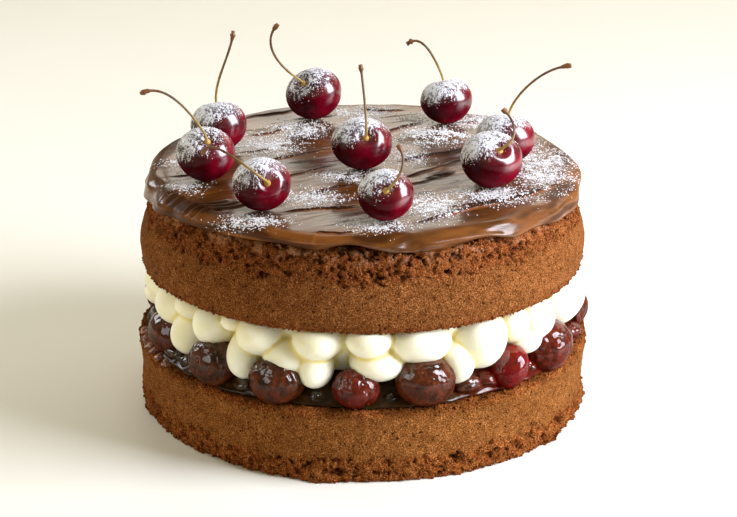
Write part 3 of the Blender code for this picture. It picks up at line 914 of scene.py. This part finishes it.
def icingFinish():
    made, shader, spot = newFinish("chocolateIcing", Coat_Roughness=0.17, IOR=1.4, Coat_IOR=1.5,
                                   Specular_IOR_Level=0.12)
    turned = addNode(spot.tree, "ShaderNodeMapping", None,
                     {"Vector": spot, "Rotation": (0, 0, -math.radians(icing["strokeTurn"]))})

    def strokes(length, size, *more):
        # noise drawn out along the runs of the knife
        return mottle(stretched(turned, (length, 1.0, 1.0)), size, *more)

    streak = strokes(0.09, 1.3, 3.0, 0.6)
    colour = ramp(streak * 0.45 + strokes(0.3, 9.0, 2.0) * 0.55,
                  (0.34, shade(54, 28, 7)), (0.50, shade(86, 48, 13)), (0.66, shade(110, 66, 20)))
    shine, foldAndPaintedReflection, mark, behind, amount = (
        painted(spot.tree, name) for name in ("sheen", "foldAndPaintedReflection", "mark", "behind", "amount"))
    lip = 1.0 - shine
    # painted reflection: the lip gets light and dark brown streaks along the rim from the fold noise
    colour = blend(lip * 0.85, colour, blend(foldAndPaintedReflection, shade(60, 30, 8), shade(124, 72, 28)))
    # the front of each run of the knife: a thin dark line of painted shade along the step, and a rust-brown
    # face before it
    behind = behind + (strokes(0.3, 3.4, 1.0) - 0.5) * 0.9
    line = fadeOut(abs(behind), 0.28, 0.55) * fade(mark, 0.10, 0.4)
    face = fadeOut(abs(behind + 1.25), 0.7, 1.1) * fade(mark, 0.2, 0.6)
    tone = mottle(spot, 24.0, 1.0)
    rust = blend(fade(tone, 0.38, 0.52), shade(66, 31, 10), shade(128, 68, 26))
    colour = blend(face * 0.85, colour, rust)
    stroke = strokes(0.12, 8.0, 1.0)
    # hair-thin dark lines along some strokes, also painted shade
    hair = fadeOut(abs(stroke - 0.5), 0.004, 0.014) * fade(tone, 0.46, 0.56) * (1.0 - lip)
    line = larger(line, hair * 0.6)
    colour = blend(line * 0.92, colour, shade(40, 17, 5))
    powder = sugarPowder(spot, amount)
    colour = blend(powder, colour, shade(236, 236, 236))
    sheen = shine * (1.0 - larger(line, face * 0.9) * 0.95)
    # the far half of the icing mirrors the sky
    far = fade(part(spot, "Y"), 0.0, 60.0)
    coat = (1.0 - powder) * (0.07 + sheen * (0.42 + 0.64 * far + 0.6 * fade(streak, 0.35, 0.6)))
    height = streak * 0.5 + mottle(spot, 3.0, 2.0) * 0.3 + fade(stroke, 0.49, 0.51) * 0.5
    fine = bump(fade(behind, -0.9, 0.0) * mark, 0.5, 0.8, bump(height, 0.15, 0.8))
    feed(shader, Base_Color=colour, Roughness=0.34 + 0.16 * streak + powder * 0.5,
         Coat_Weight=smaller(coat, 1.0), Normal=bump(powder, 0.35, 0.8, fine))
    return made


def addIcing():
    mesh = icingMesh()
    addPiece("chocolate_icing_spread", mesh, icingFinish(), "chocolate_icing", "chocolate_icing")
    return mesh


# Icing sugar

sugar = {
    "splashes": [
        (-43, 26, 15, 16, 1.0), (-78, -30, 10, 11, 0.6), (-47, -74, 17, 8, 1.0), (-22, -46, 14, 12, 0.85),
        (7, -79, 15, 9, 0.95), (-8, -16, 13, 10, 0.75), (-28, 52, 15, 15, 0.9), (0, 76, 14, 11, 0.9),
        (19, 8, 12, 12, 0.7), (34, 40, 17, 16, 1.0), (24, 66, 9, 10, 0.8), (80, -2, 16, 32, 1.0),
        (57, -42, 20, 12, 1.0), (30, -57, 13, 17, 0.95), (56, 62, 16, 12, 0.7),
        (-70, 40, 13, 12, 0.55), (-84, -2, 9, 12, 0.5), (62, 22, 14, 12, 0.7), (12, -52, 12, 8, 0.5),
    ],
    "icingGrains": {"Grains per cm2": 96.0, "Smallest": 0.25, "Largest": 0.85, "Lift": 0.08, "Seed": 4},
    "cherryGrains": {"Grains per cm2": 240.0, "Smallest": 0.18, "Largest": 0.50, "Lift": 0.05, "Seed": 9},
}


def sugarPowder(spot, amount):
    # a thin veil broken into specks and streaks, thicker where the painted amount is higher
    speck = mottle(spot, 0.95, 2.0, 0.6)
    patch = mottle(spot, 3.4, 2.0, 0.6)
    level = amount * 0.52 + (speck - 0.5) * 2.3 + (patch - 0.5) * 1.7
    return fade(level, 0.30, 0.66) * fade(amount, 0.02, 0.16) * 0.92


def sugarFinish():
    made, shader, spot = newFinish("icingSugar", Roughness=0.85, IOR=1.3)
    tone = mottle(spot, 0.7, 2.0)
    feed(shader, Base_Color=blend(tone, shade(244, 244, 246), shade(226, 226, 230)),
         Normal=bump(mottle(spot, 0.2, 2.0), 0.05, 0.8))
    return made


def addSugar(icingSkin, cherrySkins):
    finish = sugarFinish()
    tree = scatterTree("sugarGrains", finish, 4, 2)
    addPiece("sugar_on_icing", grown(icingSkin, tree, sugar["icingGrains"]), finish, "icing_sugar")
    beds = [([vertex.co / mm for vertex in mesh.vertices], facesOf(mesh)) for mesh in cherrySkins]
    amounts = np.concatenate([field(mesh, "amount") for mesh in cherrySkins])
    bed = newMesh("cherry_beds", *joined(beds), {"amount": amounts})
    addPiece("sugar_on_cherries", grown(bed, tree, sugar["cherryGrains"]), finish, "icing_sugar")


# Whipped cream

cream = {
    "voxel": 0.72, "smoothing": 3, "coreRadius": 91.5, "hiddenRadius": 84.0, "top": 68.1, "foot": 45.2,
    "lumpyFrom": (88, 93), "levelTo": 98.5,
    # dollops under the upper sponge: bearing, half width, lowest, highest, reach from the axis
    "upper": [
        (-84, 10, 49, 71, 100.6), (-75, 8, 55, 70, 99.5), (-66, 11.3, 47, 71, 101), (-56, 8, 57, 70, 99),
        (-45.5, 10, 48.5, 70.5, 101), (-37.5, 5.5, 60, 70, 98.5), (-29, 11.2, 51.7, 71, 102),
        (-12.6, 11.4, 52.6, 71, 102), (1.5, 10.1, 55.2, 70.5, 101.8), (15.7, 14.4, 50, 71, 102.2),
        (33.9, 13.4, 42.6, 72, 102.6), (45, 8, 51, 70, 100), (54.5, 11.5, 46.4, 71, 101.8),
        (76, 14, 41, 75, 103.2),
    ],
    "lower": [
        (-58, 9.6, 37, 60, 99.8), (-34, 8.4, 37.6, 62, 101), (-20.7, 12.2, 43.6, 61.5, 101),
        (-13.1, 7.9, 39.8, 58, 101), (4.1, 12.5, 43.4, 59.5, 101), (26, 8.6, 38.4, 59, 100.6),
        (50, 9.5, 43.4, 58, 100.2),
    ],
    "backUpper": {
        "first": 94, "last": 262, "count": 12, "half": 12.6, "low": 53, "high": 70.5, "reach": 101.8,
    },
    "backLower": {"half": 10.5, "low": 43, "high": 60, "reach": 100.4},
}


def dollopList():
    chance = random.Random(23)
    found = [*cream["upper"], *cream["lower"]]
    back = cream["backUpper"]
    for i in range(back["count"]):
        bearing = back["first"] + (back["last"] - back["first"]) * i / (back["count"] - 1)
        found.append((bearing + chance.uniform(-2, 2), back["half"] * chance.uniform(0.85, 1.12),
                      back["low"] + chance.uniform(-3, 2.5), back["high"],
                      back["reach"] + chance.uniform(-0.6, 0.9)))
    under = cream["backLower"]
    bearings = sorted(math.degrees(math.atan2(place.x, -place.y)) % 360 for place in fillingPlaces())
    for here, after in zip(bearings, bearings[1:] + [bearings[0] + 360]):
        middle = (here + after) / 2
        if 80 < middle % 360 < 280:
            found.append((middle, under["half"] * chance.uniform(0.9, 1.15),
                          under["low"] + chance.uniform(-1, 3), under["high"], under["reach"]))
    return found


def creamMesh():
    shape = bmesh.new()
    for bearing, half, low, high, reach in dollopList():
        angle = bearingAngle(bearing)
        out = 0.5 * (half + (high - low) / 2) + 2.5
        centre = Vector((math.cos(angle) * (reach - out), math.sin(angle) * (reach - out), (low + high) / 2))
        size = Matrix.Diagonal((out, half, (high - low) / 2, 1.0))
        place = Matrix.Translation(centre) @ Matrix.Rotation(angle, 4, "Z") @ size
        bmesh.ops.create_icosphere(shape, subdivisions=4, radius=1.0, matrix=place)
    balls = bpy.data.meshes.new("dollops")
    shape.to_mesh(balls)
    shape.free()
    top, foot, reach = cream["top"], cream["foot"], cream["coreRadius"]
    core = [(0, top), (60, top), (reach - 2, top), (reach, top - 4), (reach - 4, 55), (84, foot), (60, foot),
            (0, foot)]
    dollops = pointsOf(balls), facesOf(balls)
    return newMesh("whipped_cream_dollops", *joined([dollops, lathe(np.array(core, float), 200)]))


def closeMiddle(mesh):
    # only the outer ring keeps its close mesh: the hidden flats are closed by one fan each
    shape = bmesh.new()
    shape.from_mesh(mesh)
    hidden = [v for v in shape.verts if math.hypot(v.co.x, v.co.y) < cream["hiddenRadius"] * mm]
    bmesh.ops.delete(shape, geom=hidden, context="VERTS")
    while True:
        pinched = [v for v in shape.verts if sum(edge.is_boundary for edge in v.link_edges) > 2]
        if not pinched:
            break
        bmesh.ops.delete(shape, geom=pinched, context="VERTS")
    loose = [v for v in shape.verts if not v.link_faces]
    bmesh.ops.delete(shape, geom=loose, context="VERTS")
    middle = (cream["top"] + cream["foot"]) / 2 * mm
    rims = {True: [], False: []}
    for edge in shape.edges:
        if edge.is_boundary:
            rims[edge.verts[0].co.z > middle].append(edge)
    for high, edges in rims.items():
        height = (cream["top"] if high else cream["foot"]) * mm
        centre = shape.verts.new((0, 0, height))
        for edge in edges:
            shape.faces.new((*edge.verts, centre))
    bmesh.ops.recalc_face_normals(shape, faces=shape.faces)
    shape.to_mesh(mesh)
    shape.free()


def creamFinish():
    made, shader, spot = newFinish("whippedCream", Roughness=0.5, IOR=1.38, Subsurface_Weight=0.6,
                                   Subsurface_Scale=0.005)
    shader.inputs["Subsurface Radius"].default_value = (1.0, 0.86, 0.50)
    cloud = mottle(spot, 9.0, 3.0)
    colour = blend(fade(cloud, 0.3, 0.72), shade(244, 241, 222), shade(240, 235, 207))
    # painted shade: the creases between dollops are coloured a deeper ivory yellow
    colour = blend(painted(spot.tree, "crease") * 0.9, colour, shade(236, 222, 150))
    height = mottle(spot, 2.2, 3.0, 0.55) * 0.6 + mottle(spot, 0.7, 2.0) * 0.18
    feed(shader, Base_Color=colour, Roughness=0.42 + 0.16 * mottle(spot, 3.0), Normal=bump(height, 0.4, 0.6))
    return made


def creaseDepth(mesh):
    # 1 in the creases between dollops and 0 on their rounds, from how the surface curves; the finish paints
    # it as shade
    count = len(mesh.vertices)
    ends = np.empty(len(mesh.edges) * 2, int)
    mesh.edges.foreach_get("vertices", ends)
    first, second = ends.reshape(-1, 2).T
    spots, normals = pointsOf(mesh), normalsOf(mesh)
    share = np.bincount(first, minlength=count) + np.bincount(second, minlength=count) + 1e-9
    run = spots[second] - spots[first]
    length = np.linalg.norm(run, axis=1) + 1e-9
    bend = ((normals[first] - normals[second]) * run).sum(1) / length ** 2
    value = (np.bincount(first, bend, count) + np.bincount(second, bend, count)) / share
    for _ in range(6):
        around = np.bincount(first, value[second], count) + np.bincount(second, value[first], count)
        value = 0.4 * value + 0.6 * around / share
    return smoothStep(value * mm, 0.01, 0.17)


def addCream():
    finish = creamFinish()
    lump = addObject("creamLump", creamMesh())
    remesh = lump.modifiers.new("Join", "REMESH")
    remesh.mode, remesh.voxel_size, remesh.use_smooth_shade = "VOXEL", cream["voxel"] * mm, True
    soften = lump.modifiers.new("Soften", "SMOOTH")
    soften.factor, soften.iterations = 0.5, cream["smoothing"]
    mesh = evaluated(lump)
    points = pointsOf(mesh) / mm
    radius = np.hypot(points[:, 0], points[:, 1])
    lumps = 0.22 * softNoise(points, 6.5, 21) + 0.40 * softNoise(points, 15, 22)
    points += normalsOf(mesh) * (lumps * smoothStep(radius, *cream["lumpyFrom"]))[:, None]
    level = np.minimum(points[:, 2], cream["top"])
    points[:, 2] = np.where(radius < cream["levelTo"], level, points[:, 2])
    mesh.vertices.foreach_set("co", (points * mm).ravel())
    closeMiddle(mesh)
    paint(mesh, "crease", creaseDepth(mesh))
    mesh.shade_smooth()
    addPiece("whipped_cream_dollops", mesh, finish, "whipped_cream", "whipped_cream")


# Cherries and jam of the filling

filling = {
    "nodes": [f"filling_cherry_{i:02d}" for i in range(1, 16)],
    "size": (22.5, 26.0, 22.0), "steps": 96, "rows": 60, "lumps": 0.045, "folds": 0.085,
    # how red each is, by its number, and how deep its folds are where it differs
    "redder": {1: 0.1, 2: 0.0, 3: 0.06, 4: 0.55, 5: 0.12, 6: 1.0, 7: 0.45},
    "folded": {1: 0.6, 3: 0.8, 4: 1.2, 5: 0.4, 6: 0.3, 7: 1.0},
    "long": {6: ((0.92, 0.66, 1.02), 38.0)},  # the one that stands askew: its size, its lean in degrees
}


def fillingPlaces():
    for node in filling["nodes"]:
        low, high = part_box(node)
        yield (low + high) / 2 / mm


def unitBall(steps, rows):
    line = np.array([(math.sin(math.pi * i / rows), math.cos(math.pi * i / rows)) for i in range(rows + 1)])
    line[0, 0] = line[-1, 0] = 0.0
    return lathe(line, steps)


def cookedFinish(name, dark, red, coat):
    made, shader, spot = newFinish(name, IOR=1.4, Coat_Roughness=0.045, Coat_IOR=1.75,
                                   Specular_IOR_Level=0.05)
    tint, gloss = (painted(spot.tree, name) for name in ("tint", "gloss"))
    cloud = mottle(spot, 4.5, 3.0, 0.6)
    skin = blend(fade(cloud, 0.35, 0.68), dark, red)
    colour = blend(tint * (0.35 + 0.65 * fade(cloud, 0.25, 0.6)), skin, shade(112, 8, 8))
    crease = mottle(stretched(spot, (1.0, 1.0, 0.5)), 2.2, 3.0, 0.6)
    lines = fadeOut(abs(crease - 0.5), 0.0, 0.05)
    colour = blend(lines * 0.5, colour, shade(14, 4, 2))
    height = crease * 0.5 - lines * 0.4 + mottle(spot, 0.8, 2.0) * 0.1
    feed(shader, Base_Color=colour, Roughness=0.3 + 0.25 * fade(cloud, 0.4, 0.7),
         Coat_Weight=coat * (0.55 + 0.45 * fade(crease, 0.35, 0.6)) * gloss, Normal=bump(height, 0.6, 0.8))
    return made


def skinGloss(rise):
    # the undersides are dull and dark, the tops shine
    return 0.10 + 0.90 * smoothStep(rise, -0.35, 0.70)


def addFillingCherries():
    finish = cookedFinish("cookedCherry", shade(51, 26, 9), shade(92, 41, 14), 0.72)
    unit, faces = unitBall(filling["steps"], filling["rows"])
    chance = random.Random(7)
    for number, (node, place) in enumerate(zip(filling["nodes"], fillingPlaces()), start=1):
        low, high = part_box(node)
        seed = 30 + number
        size = np.array(filling["size"]) / 2 * (high.z - low.z) / mm / filling["size"][2]
        lean = Matrix.Rotation(chance.uniform(-0.5, 0.5), 3, "X")
        grain = unit @ np.array(lean @ Matrix.Rotation(chance.uniform(-0.4, 0.4), 3, "Y"))
        folds = 1 - np.abs(softNoise(grain, (0.34, 0.34, 0.95), seed))
        fineFolds = 1 - np.abs(softNoise(grain, (0.2, 0.2, 0.5), seed + 0.5))
        deep = filling["folded"].get(number, 1.0)
        swell = 1 + filling["lumps"] * (0.6 + 0.4 * deep) * softNoise(grain, 0.8, seed + 0.2)
        swell -= deep * (filling["folds"] * folds ** 7 + 0.03 * fineFolds ** 6)
        stretch, askew = filling["long"].get(number, ((1, 1, 1), 0.0))
        own = unit * swell[:, None] * size * np.array(stretch)
        own = own @ np.array(Matrix.Rotation(-math.radians(askew), 3, "X")).T
        points = own @ np.array(Matrix.Rotation(math.atan2(place.y, place.x), 3, "Z")).T
        points += np.array(place) - (points.max(0) + points.min(0)) / 2
        tint = np.full(len(points), filling["redder"].get(number, chance.uniform(0.1, 0.5)))
        gloss = skinGloss(own[:, 2] / size[2])
        mesh = newMesh(node + "_skin", points, faces, {"tint": tint, "gloss": gloss})
        addPiece(node + "_skin", mesh, finish, "cooked_cherry", node)


jam = {
    "stepsRound": 640, "rowSpacing": 0.75,
    "line": [(0, 44.9), (60, 44.9), (78, 44.9), (86, 44.2), (91.5, 41.5), (95.6, 38.2), (98.6, 36.1),
             (99.6, 35.0), (98.6, 34.3), (94, 34.2), (60, 34.2), (0, 34.2)],
    "lumps": 1.1,
    # bits of torn fruit in the jam: bearing, height, radius out, half sizes out, along and up
    "bits": [
        (-33, 37, 95.2, (4, 5, 3.4)), (-12, 36.8, 94.6, (3.4, 4.4, 2.9)), (7, 36.8, 94.4, (3.2, 3.6, 2.9)),
        (-55, 37.2, 95, (3.6, 4.2, 3.2)), (28.5, 38.6, 94.5, (5, 7.5, 4.4)), (35, 38.4, 94, (5, 6, 4)),
        (50, 37.5, 94, (5, 5, 3.6)), (70, 39, 94, (6, 7, 6)), (79, 37.5, 96, (5, 7, 4.5)),
        (84, 41, 98.2, (2.2, 2.6, 6.5)), (-62, 37.4, 95.5, (4, 9, 3.4)), (-70, 38, 95.5, (4, 8, 4)),
        (-86, 40, 94, (4, 9, 5)), (104, 38, 95, (4, 8, 3.6)), (151, 38, 95, (4, 8, 3.4)),
        (199, 38, 95, (4, 8, 3.6)), (247, 38, 95, (4, 8, 3.4)),
    ],
}


def jamShape(angle, radius, height):
    points = onRing(angle, radius, height)
    outer = smoothStep(radius, 84, 92)
    push = softNoise(points, (7, 7, 4), 61) + 0.5 * softNoise(points, (3, 3, 2.4), 62)
    radius = radius + (0.9 * ripple(angle, 1.3, (5, 8, 13)) + jam["lumps"] * push) * outer
    return radius, height + 0.5 * softNoise(points, (6, 6, 3), 63) * outer * (height > 36)


def addJam():
    finish = cookedFinish("cherryJam", shade(40, 26, 2), shade(58, 33, 3), 0.8)
    knots = jam["line"]
    line = np.vstack([knots[:2], smoothLine(knots[2:-2], jam["rowSpacing"]), knots[-2:]])
    layer = lathe(line, jam["stepsRound"], jamShape)
    wet = smoothStep(softNoise(layer[0], (4.5, 4.5, 2.2), 65), 0.05, 0.6)
    shapes, gloss = [layer], [0.16 + 0.55 * wet]
    unit, bitFaces = unitBall(56, 34)
    for number, (bearing, level, ring, size) in enumerate(jam["bits"]):
        folds = 1 - np.abs(softNoise(unit, (0.8, 0.8, 1.0), 70 + number))
        swell = 1 + 0.12 * softNoise(unit, 0.7, 90 + number) - 0.12 * folds ** 5
        shapes.append((atRim(unit * swell[:, None] * np.array(size), bearing, ring, level), bitFaces))
        gloss.append(skinGloss(unit[:, 2]))
    points, faces = joined(shapes)
    bearing = np.degrees(np.arctan2(points[:, 0], -points[:, 1]))
    tint = smoothStep(bearing, 18, 40) * (1 - smoothStep(bearing, 100, 130)) * 0.6
    mesh = newMesh("cherry_jam_layer", points, faces, {"tint": tint, "gloss": np.concatenate(gloss)})
    addPiece("cherry_jam_layer", mesh, finish, "cherry_jam", "cherry_jam")


# Cherries on the icing, and their stems

freshCherry = {
    "steps": 84, "rows": 56, "dimpleDepth": 0.24, "dimpleRadius": 0.28, "groove": 0.018,
    "unsugared": 0.30, "scar": 0.12,  # how far from the middle of the dimple, as a share of the radius
    # size across and up, the way the dimple faces, the stem's two handles and tip, and how sugared it is
    "each": [
        {"size": (26.0, 24.0), "dimple": (0.12, -0.57, 0.81), "sugar": 0.80,
         "stem": ((-75.0, -26.0, 142.0), (-84.5, -30.0, 161.0), (-97.0, -32.0, 155.0))},
        {"size": (25.6, 22.9), "dimple": (-0.13, 0.35, 0.93), "sugar": 0.88,
         "stem": ((-67.5, 21.0, 145.0), (-60.0, 24.0, 156.0), (-59.0, 26.0, 166.0))},
        {"size": (27.0, 22.7), "dimple": (-0.50, -0.50, 0.70), "sugar": 0.74,
         "stem": ((-38.0, 60.0, 137.0), (-49.0, 58.0, 150.0), (-40.0, 58.0, 160.0))},
        {"size": (27.4, 22.5), "dimple": (0.18, -0.80, 0.55), "sugar": 0.90,
         "stem": ((1.5, -14.0, 137.0), (0.5, -6.0, 148.0), (-1.0, -4.0, 159.0))},
        {"size": (24.5, 21.2), "dimple": (-0.16, 0.30, 0.94), "sugar": 0.92,
         "stem": ((34.0, 63.0, 141.0), (29.0, 64.0, 155.0), (21.5, 66.0, 149.0))},
        {"size": (26.7, 22.6), "dimple": (0.11, 0.30, 0.95), "sugar": 0.86,
         "stem": ((68.5, 3.0, 142.0), (78.0, -1.0, 157.0), (92.0, -4.0, 159.0))},
        {"size": (25.3, 23.3), "dimple": (0.30, -0.88, 0.36), "sugar": 0.86,
         "stem": ((-47.0, -75.0, 132.0), (-65.0, -68.0, 150.0), (-68.5, -66.0, 139.0))},
        {"size": (27.4, 24.7), "dimple": (0.34, -0.67, 0.67), "sugar": 0.95,
         "stem": ((68.0, -39.0, 134.0), (68.5, -32.0, 141.0), (62.0, -30.0, 146.5))},
        {"size": (23.9, 22.4), "dimple": (0.0, -0.85, 0.52), "sugar": 0.82,
         "stem": ((14.0, -86.0, 130.0), (20.5, -81.0, 140.0), (15.0, -78.0, 146.0))},
    ],
}


def cherryUnit():
    # a whole cherry, one unit across, with the dimple for its stem on top and broad shoulders
    rows = freshCherry["rows"]
    turns = math.pi * (np.arange(rows + 1) / rows) ** 1.15
    radius = np.sin(turns) * (1 + 0.06 * np.cos(turns))
    hollow = np.exp(-((radius / freshCherry["dimpleRadius"]) ** 2))
    dimple = freshCherry["dimpleDepth"] * hollow * (turns < 1.6)
    line = np.column_stack([radius / 2, (np.cos(turns) - dimple) / 2])
    line[0, 0] = line[-1, 0] = 0.0

    def shape(angle, radius, height):
        cleft = np.exp(-((((angle + math.pi) % (2 * math.pi)) - math.pi) / 0.16) ** 2)
        uneven = 1 + 0.012 * np.sin(2 * angle + 1) + 0.008 * np.sin(3 * angle)
        return radius * (uneven - freshCherry["groove"] * cleft), height

    return lathe(line, freshCherry["steps"], shape)


def cherryPose(spec):
    across, up = spec["size"]
    deep = 0.94 * across
    upright = Vector(spec["dimple"]).normalized()
    side = (Vector((1, 0, 0)) - upright * upright.x).normalized()
    back = upright.cross(side)
    lying = 1 - upright.z ** 2
    size = Vector((across, deep + (up - deep) * lying, up + (deep - up) * lying))
    return Matrix((side, back, upright)).transposed(), size


def cherryFinish():
    made, shader, spot = newFinish("cherrySkin", IOR=1.4, Coat_Roughness=0.2, Coat_IOR=1.75,
                                   Specular_IOR_Level=0.0)
    names = ("shadow", "scar", "amount", "gloss")
    shadow, scar, amount, gloss = (painted(spot.tree, name) for name in names)
    colour = ramp(mottle(spot, 8.0, 2.0), (0.30, shade(70, 1, 15)), (0.5, shade(108, 2, 25)),
                  (0.7, shade(142, 4, 34)))
    colour = blend(shadow, colour, shade(26, 2, 4))
    colour = blend(holes(spot, 1.1, 0.4, 3.0) * 0.16, colour, shade(170, 60, 60))
    colour = blend(fade(scar, 0.25, 0.5), colour, shade(206, 128, 70))
    streak = mottle(stretched(spot, (1.0, 1.0, 0.26)), 1.0, 2.0, 0.6)
    speck = mottle(spot, 0.62, 2.0, 0.6)
    patch = mottle(spot, 4.0, 1.0)
    level = amount * 0.68 + (streak - 0.5) * 2.2 + (speck - 0.5) * 1.0 + (patch - 0.5) * 0.7
    powder = fade(level, 0.28, 0.64) * fade(amount, 0.02, 0.2)
    cover = larger(powder * 0.94, fade(amount, 0.2, 1.0) * 0.14)
    colour = blend(cover, colour, shade(228, 230, 238))
    relief = bump(powder, 0.3, 0.8, bump(mottle(spot, 1.6, 2.0), 0.05, 0.4))
    feed(shader, Base_Color=colour, Roughness=0.30 + powder * 0.5, Coat_Weight=(1.0 - powder) * gloss,
         Normal=relief)
    return made


def bezierPoint(handles, t):
    last = len(handles) - 1
    shares = (math.comb(last, i) * t ** i * (1 - t) ** (last - i) for i in range(last + 1))
    return sum((handle * share for handle, share in zip(handles, shares)), Vector())


stem = {
    "points": 64, "straight": 5.9,
    "sizes": {
        "Thickness": 0.56, "Sides": 12, "Foot swell": 1.9, "Tip swell": 1.0, "Knobs": 1.0, "Knob size": 0.9,
    },
}


def stemTree(finish):
    # a twig along a line: swollen where it leaves the cherry, knobbly at the scar of its other end
    tree, wires = newTree("stem", stem["sizes"])
    line = addNode(tree, "GeometryNodeMeshToCurve", None, {"Mesh": wires["Geometry"]})
    along = addNode(tree, "GeometryNodeSplineParameter", out="Factor")
    foot, tip = fadeOut(along, 0.0, 0.055), fade(along, 0.88, 0.965)
    spot = stretched(addNode(tree, "GeometryNodeInputPosition"), (1000.0,) * 3)
    thick = wires["Thickness"] * (1.0 + foot * wires["Foot swell"] + tip * wires["Tip swell"])
    thick = thick * (0.9 + 0.2 * mottle(spot, 6.0))
    line = storeField(line, "along", along)
    line = addNode(tree, "GeometryNodeSetCurveRadius", None, {"Curve": line, "Radius": 1.0})
    ring = addNode(tree, "GeometryNodeCurvePrimitiveCircle", {"mode": "RADIUS"},
                   {"Resolution": wires["Sides"], "Radius": 0.0001})
    tube = addNode(tree, "GeometryNodeCurveToMesh", None,
                   {"Curve": storeField(line, "thick", thick), "Profile Curve": ring, "Fill Caps": True})
    runs = namedField(tree, "along")
    rough = 0.14 + fade(runs, 0.88, 0.96)
    knob = (mottle(spot, wires["Knob size"], 2.0) - 0.5) * 2.0 * wires["Knobs"] * rough
    out = (namedField(tree, "thick") - 0.1 + knob) * mm
    push = scaled(addNode(tree, "GeometryNodeInputNormal"), out)
    moved = addNode(tree, "GeometryNodeSetPosition", None, {"Geometry": tube, "Offset": push})
    smooth = addNode(tree, "GeometryNodeSetShadeSmooth", None, {"Geometry": moved})
    endTree(smooth, finish)
    return tree


def stemFinish():
    made, shader, spot = newFinish("cherryStem", Roughness=0.38, IOR=1.45)
    along = painted(spot.tree, "along")
    grain = mottle(stretched(spot, (1.0, 1.0, 0.3)), 0.9, 3.0)
    run = along + (mottle(spot, 5.0) - 0.5) * 0.25
    colour = ramp(run, (0.0, shade(204, 162, 90)), (0.10, shade(160, 134, 58)), (0.35, shade(126, 94, 38)),
                  (0.70, shade(84, 54, 26)), (0.88, shade(104, 62, 28)), (1.0, shade(116, 70, 32)))
    colour = blend(fade(grain, 0.5, 0.75) * 0.5, colour, shade(60, 34, 18))
    feed(shader, Base_Color=colour, Normal=bump(grain, 0.14, 0.6))
    return made


def addStem(number, foot, way, handles, tree, finish):
    ends = [foot, foot + way * stem["straight"], *(Vector(handle) for handle in handles)]
    run = [bezierPoint(ends, i / (stem["points"] - 1)) for i in range(stem["points"])]
    line = bpy.data.meshes.new("stemLine")
    line.from_pydata([point * mm for point in run], [(i, i + 1) for i in range(len(run) - 1)], [])
    node = f"cherry_stem_{number:02d}"
    addPiece(node + "_twig", grown(line, tree, stem["sizes"]), finish, "cherry_stem", node)


def addFreshCherries():
    skin, twig = cherryFinish(), stemFinish()
    tree = stemTree(twig)
    unit, faces = cherryUnit()
    radius = np.hypot(unit[:, 0], unit[:, 1]) * 2
    reaches = freshCherry["unsugared"], freshCherry["scar"]
    inDimple, scar = (np.exp(-((radius / reach) ** 2)) * (unit[:, 2] > 0) for reach in reaches)
    skins = []
    for number, spec in enumerate(freshCherry["each"], start=1):
        node = f"cherry_{number:02d}"
        low, high = (np.array(corner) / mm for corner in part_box(node))
        turn, size = cherryPose(spec)
        axes = np.array(turn)
        points = (unit * np.array(size)) @ axes.T
        shift = (low + high) / 2 - (points.max(0) + points.min(0)) / 2
        shift[2] = low[2] - points[:, 2].min()
        points += shift
        faceUp = (unit * np.array(size) / np.array(size) ** 2) @ axes.T
        faceUp /= np.linalg.norm(faceUp, axis=1)[:, None] + 1e-9
        right, up = faceUp[:, 0], faceUp[:, 2]
        tilt = up + 0.22 * softNoise(points, 4.5, number) - 0.42 * right
        gloss = np.maximum(smoothStep(up, 0.0, 0.32),
                           smoothStep(right, 0.25, 0.55) * smoothStep(up, -0.35, 0.0))
        mesh = newMesh(node + "_skin", points, faces, {
            "amount": smoothStep(tilt, 0.05, 1.05) * spec["sugar"] * (1 - 0.75 * inDimple),
            "scar": scar, "gloss": 0.12 + 0.88 * gloss,
            "shadow": 0.80 * (1 - smoothStep(right * 0.8 - up * 0.25, -0.40, 0.80)),
        })
        addPiece(node + "_skin", mesh, skin, "fresh_cherry", node)
        skins.append(mesh)
        way = Vector(turn.col[2])
        foot = Vector(shift) + way * ((1 - freshCherry["dimpleDepth"]) / 2 * size.z)
        addStem(number, foot, way, spec["stem"], tree, twig)
    return skins


# The whole cake

addCamera()
addLights()
addFloor()
spongeSkins = addSponges()
addCrumbs(spongeSkins)
addMoistCrumbs()
addJam()
addFillingCherries()
addCream()
icingSkin = addIcing()
cherrySkins = addFreshCherries()
addSugar(icingSkin, cherrySkins)
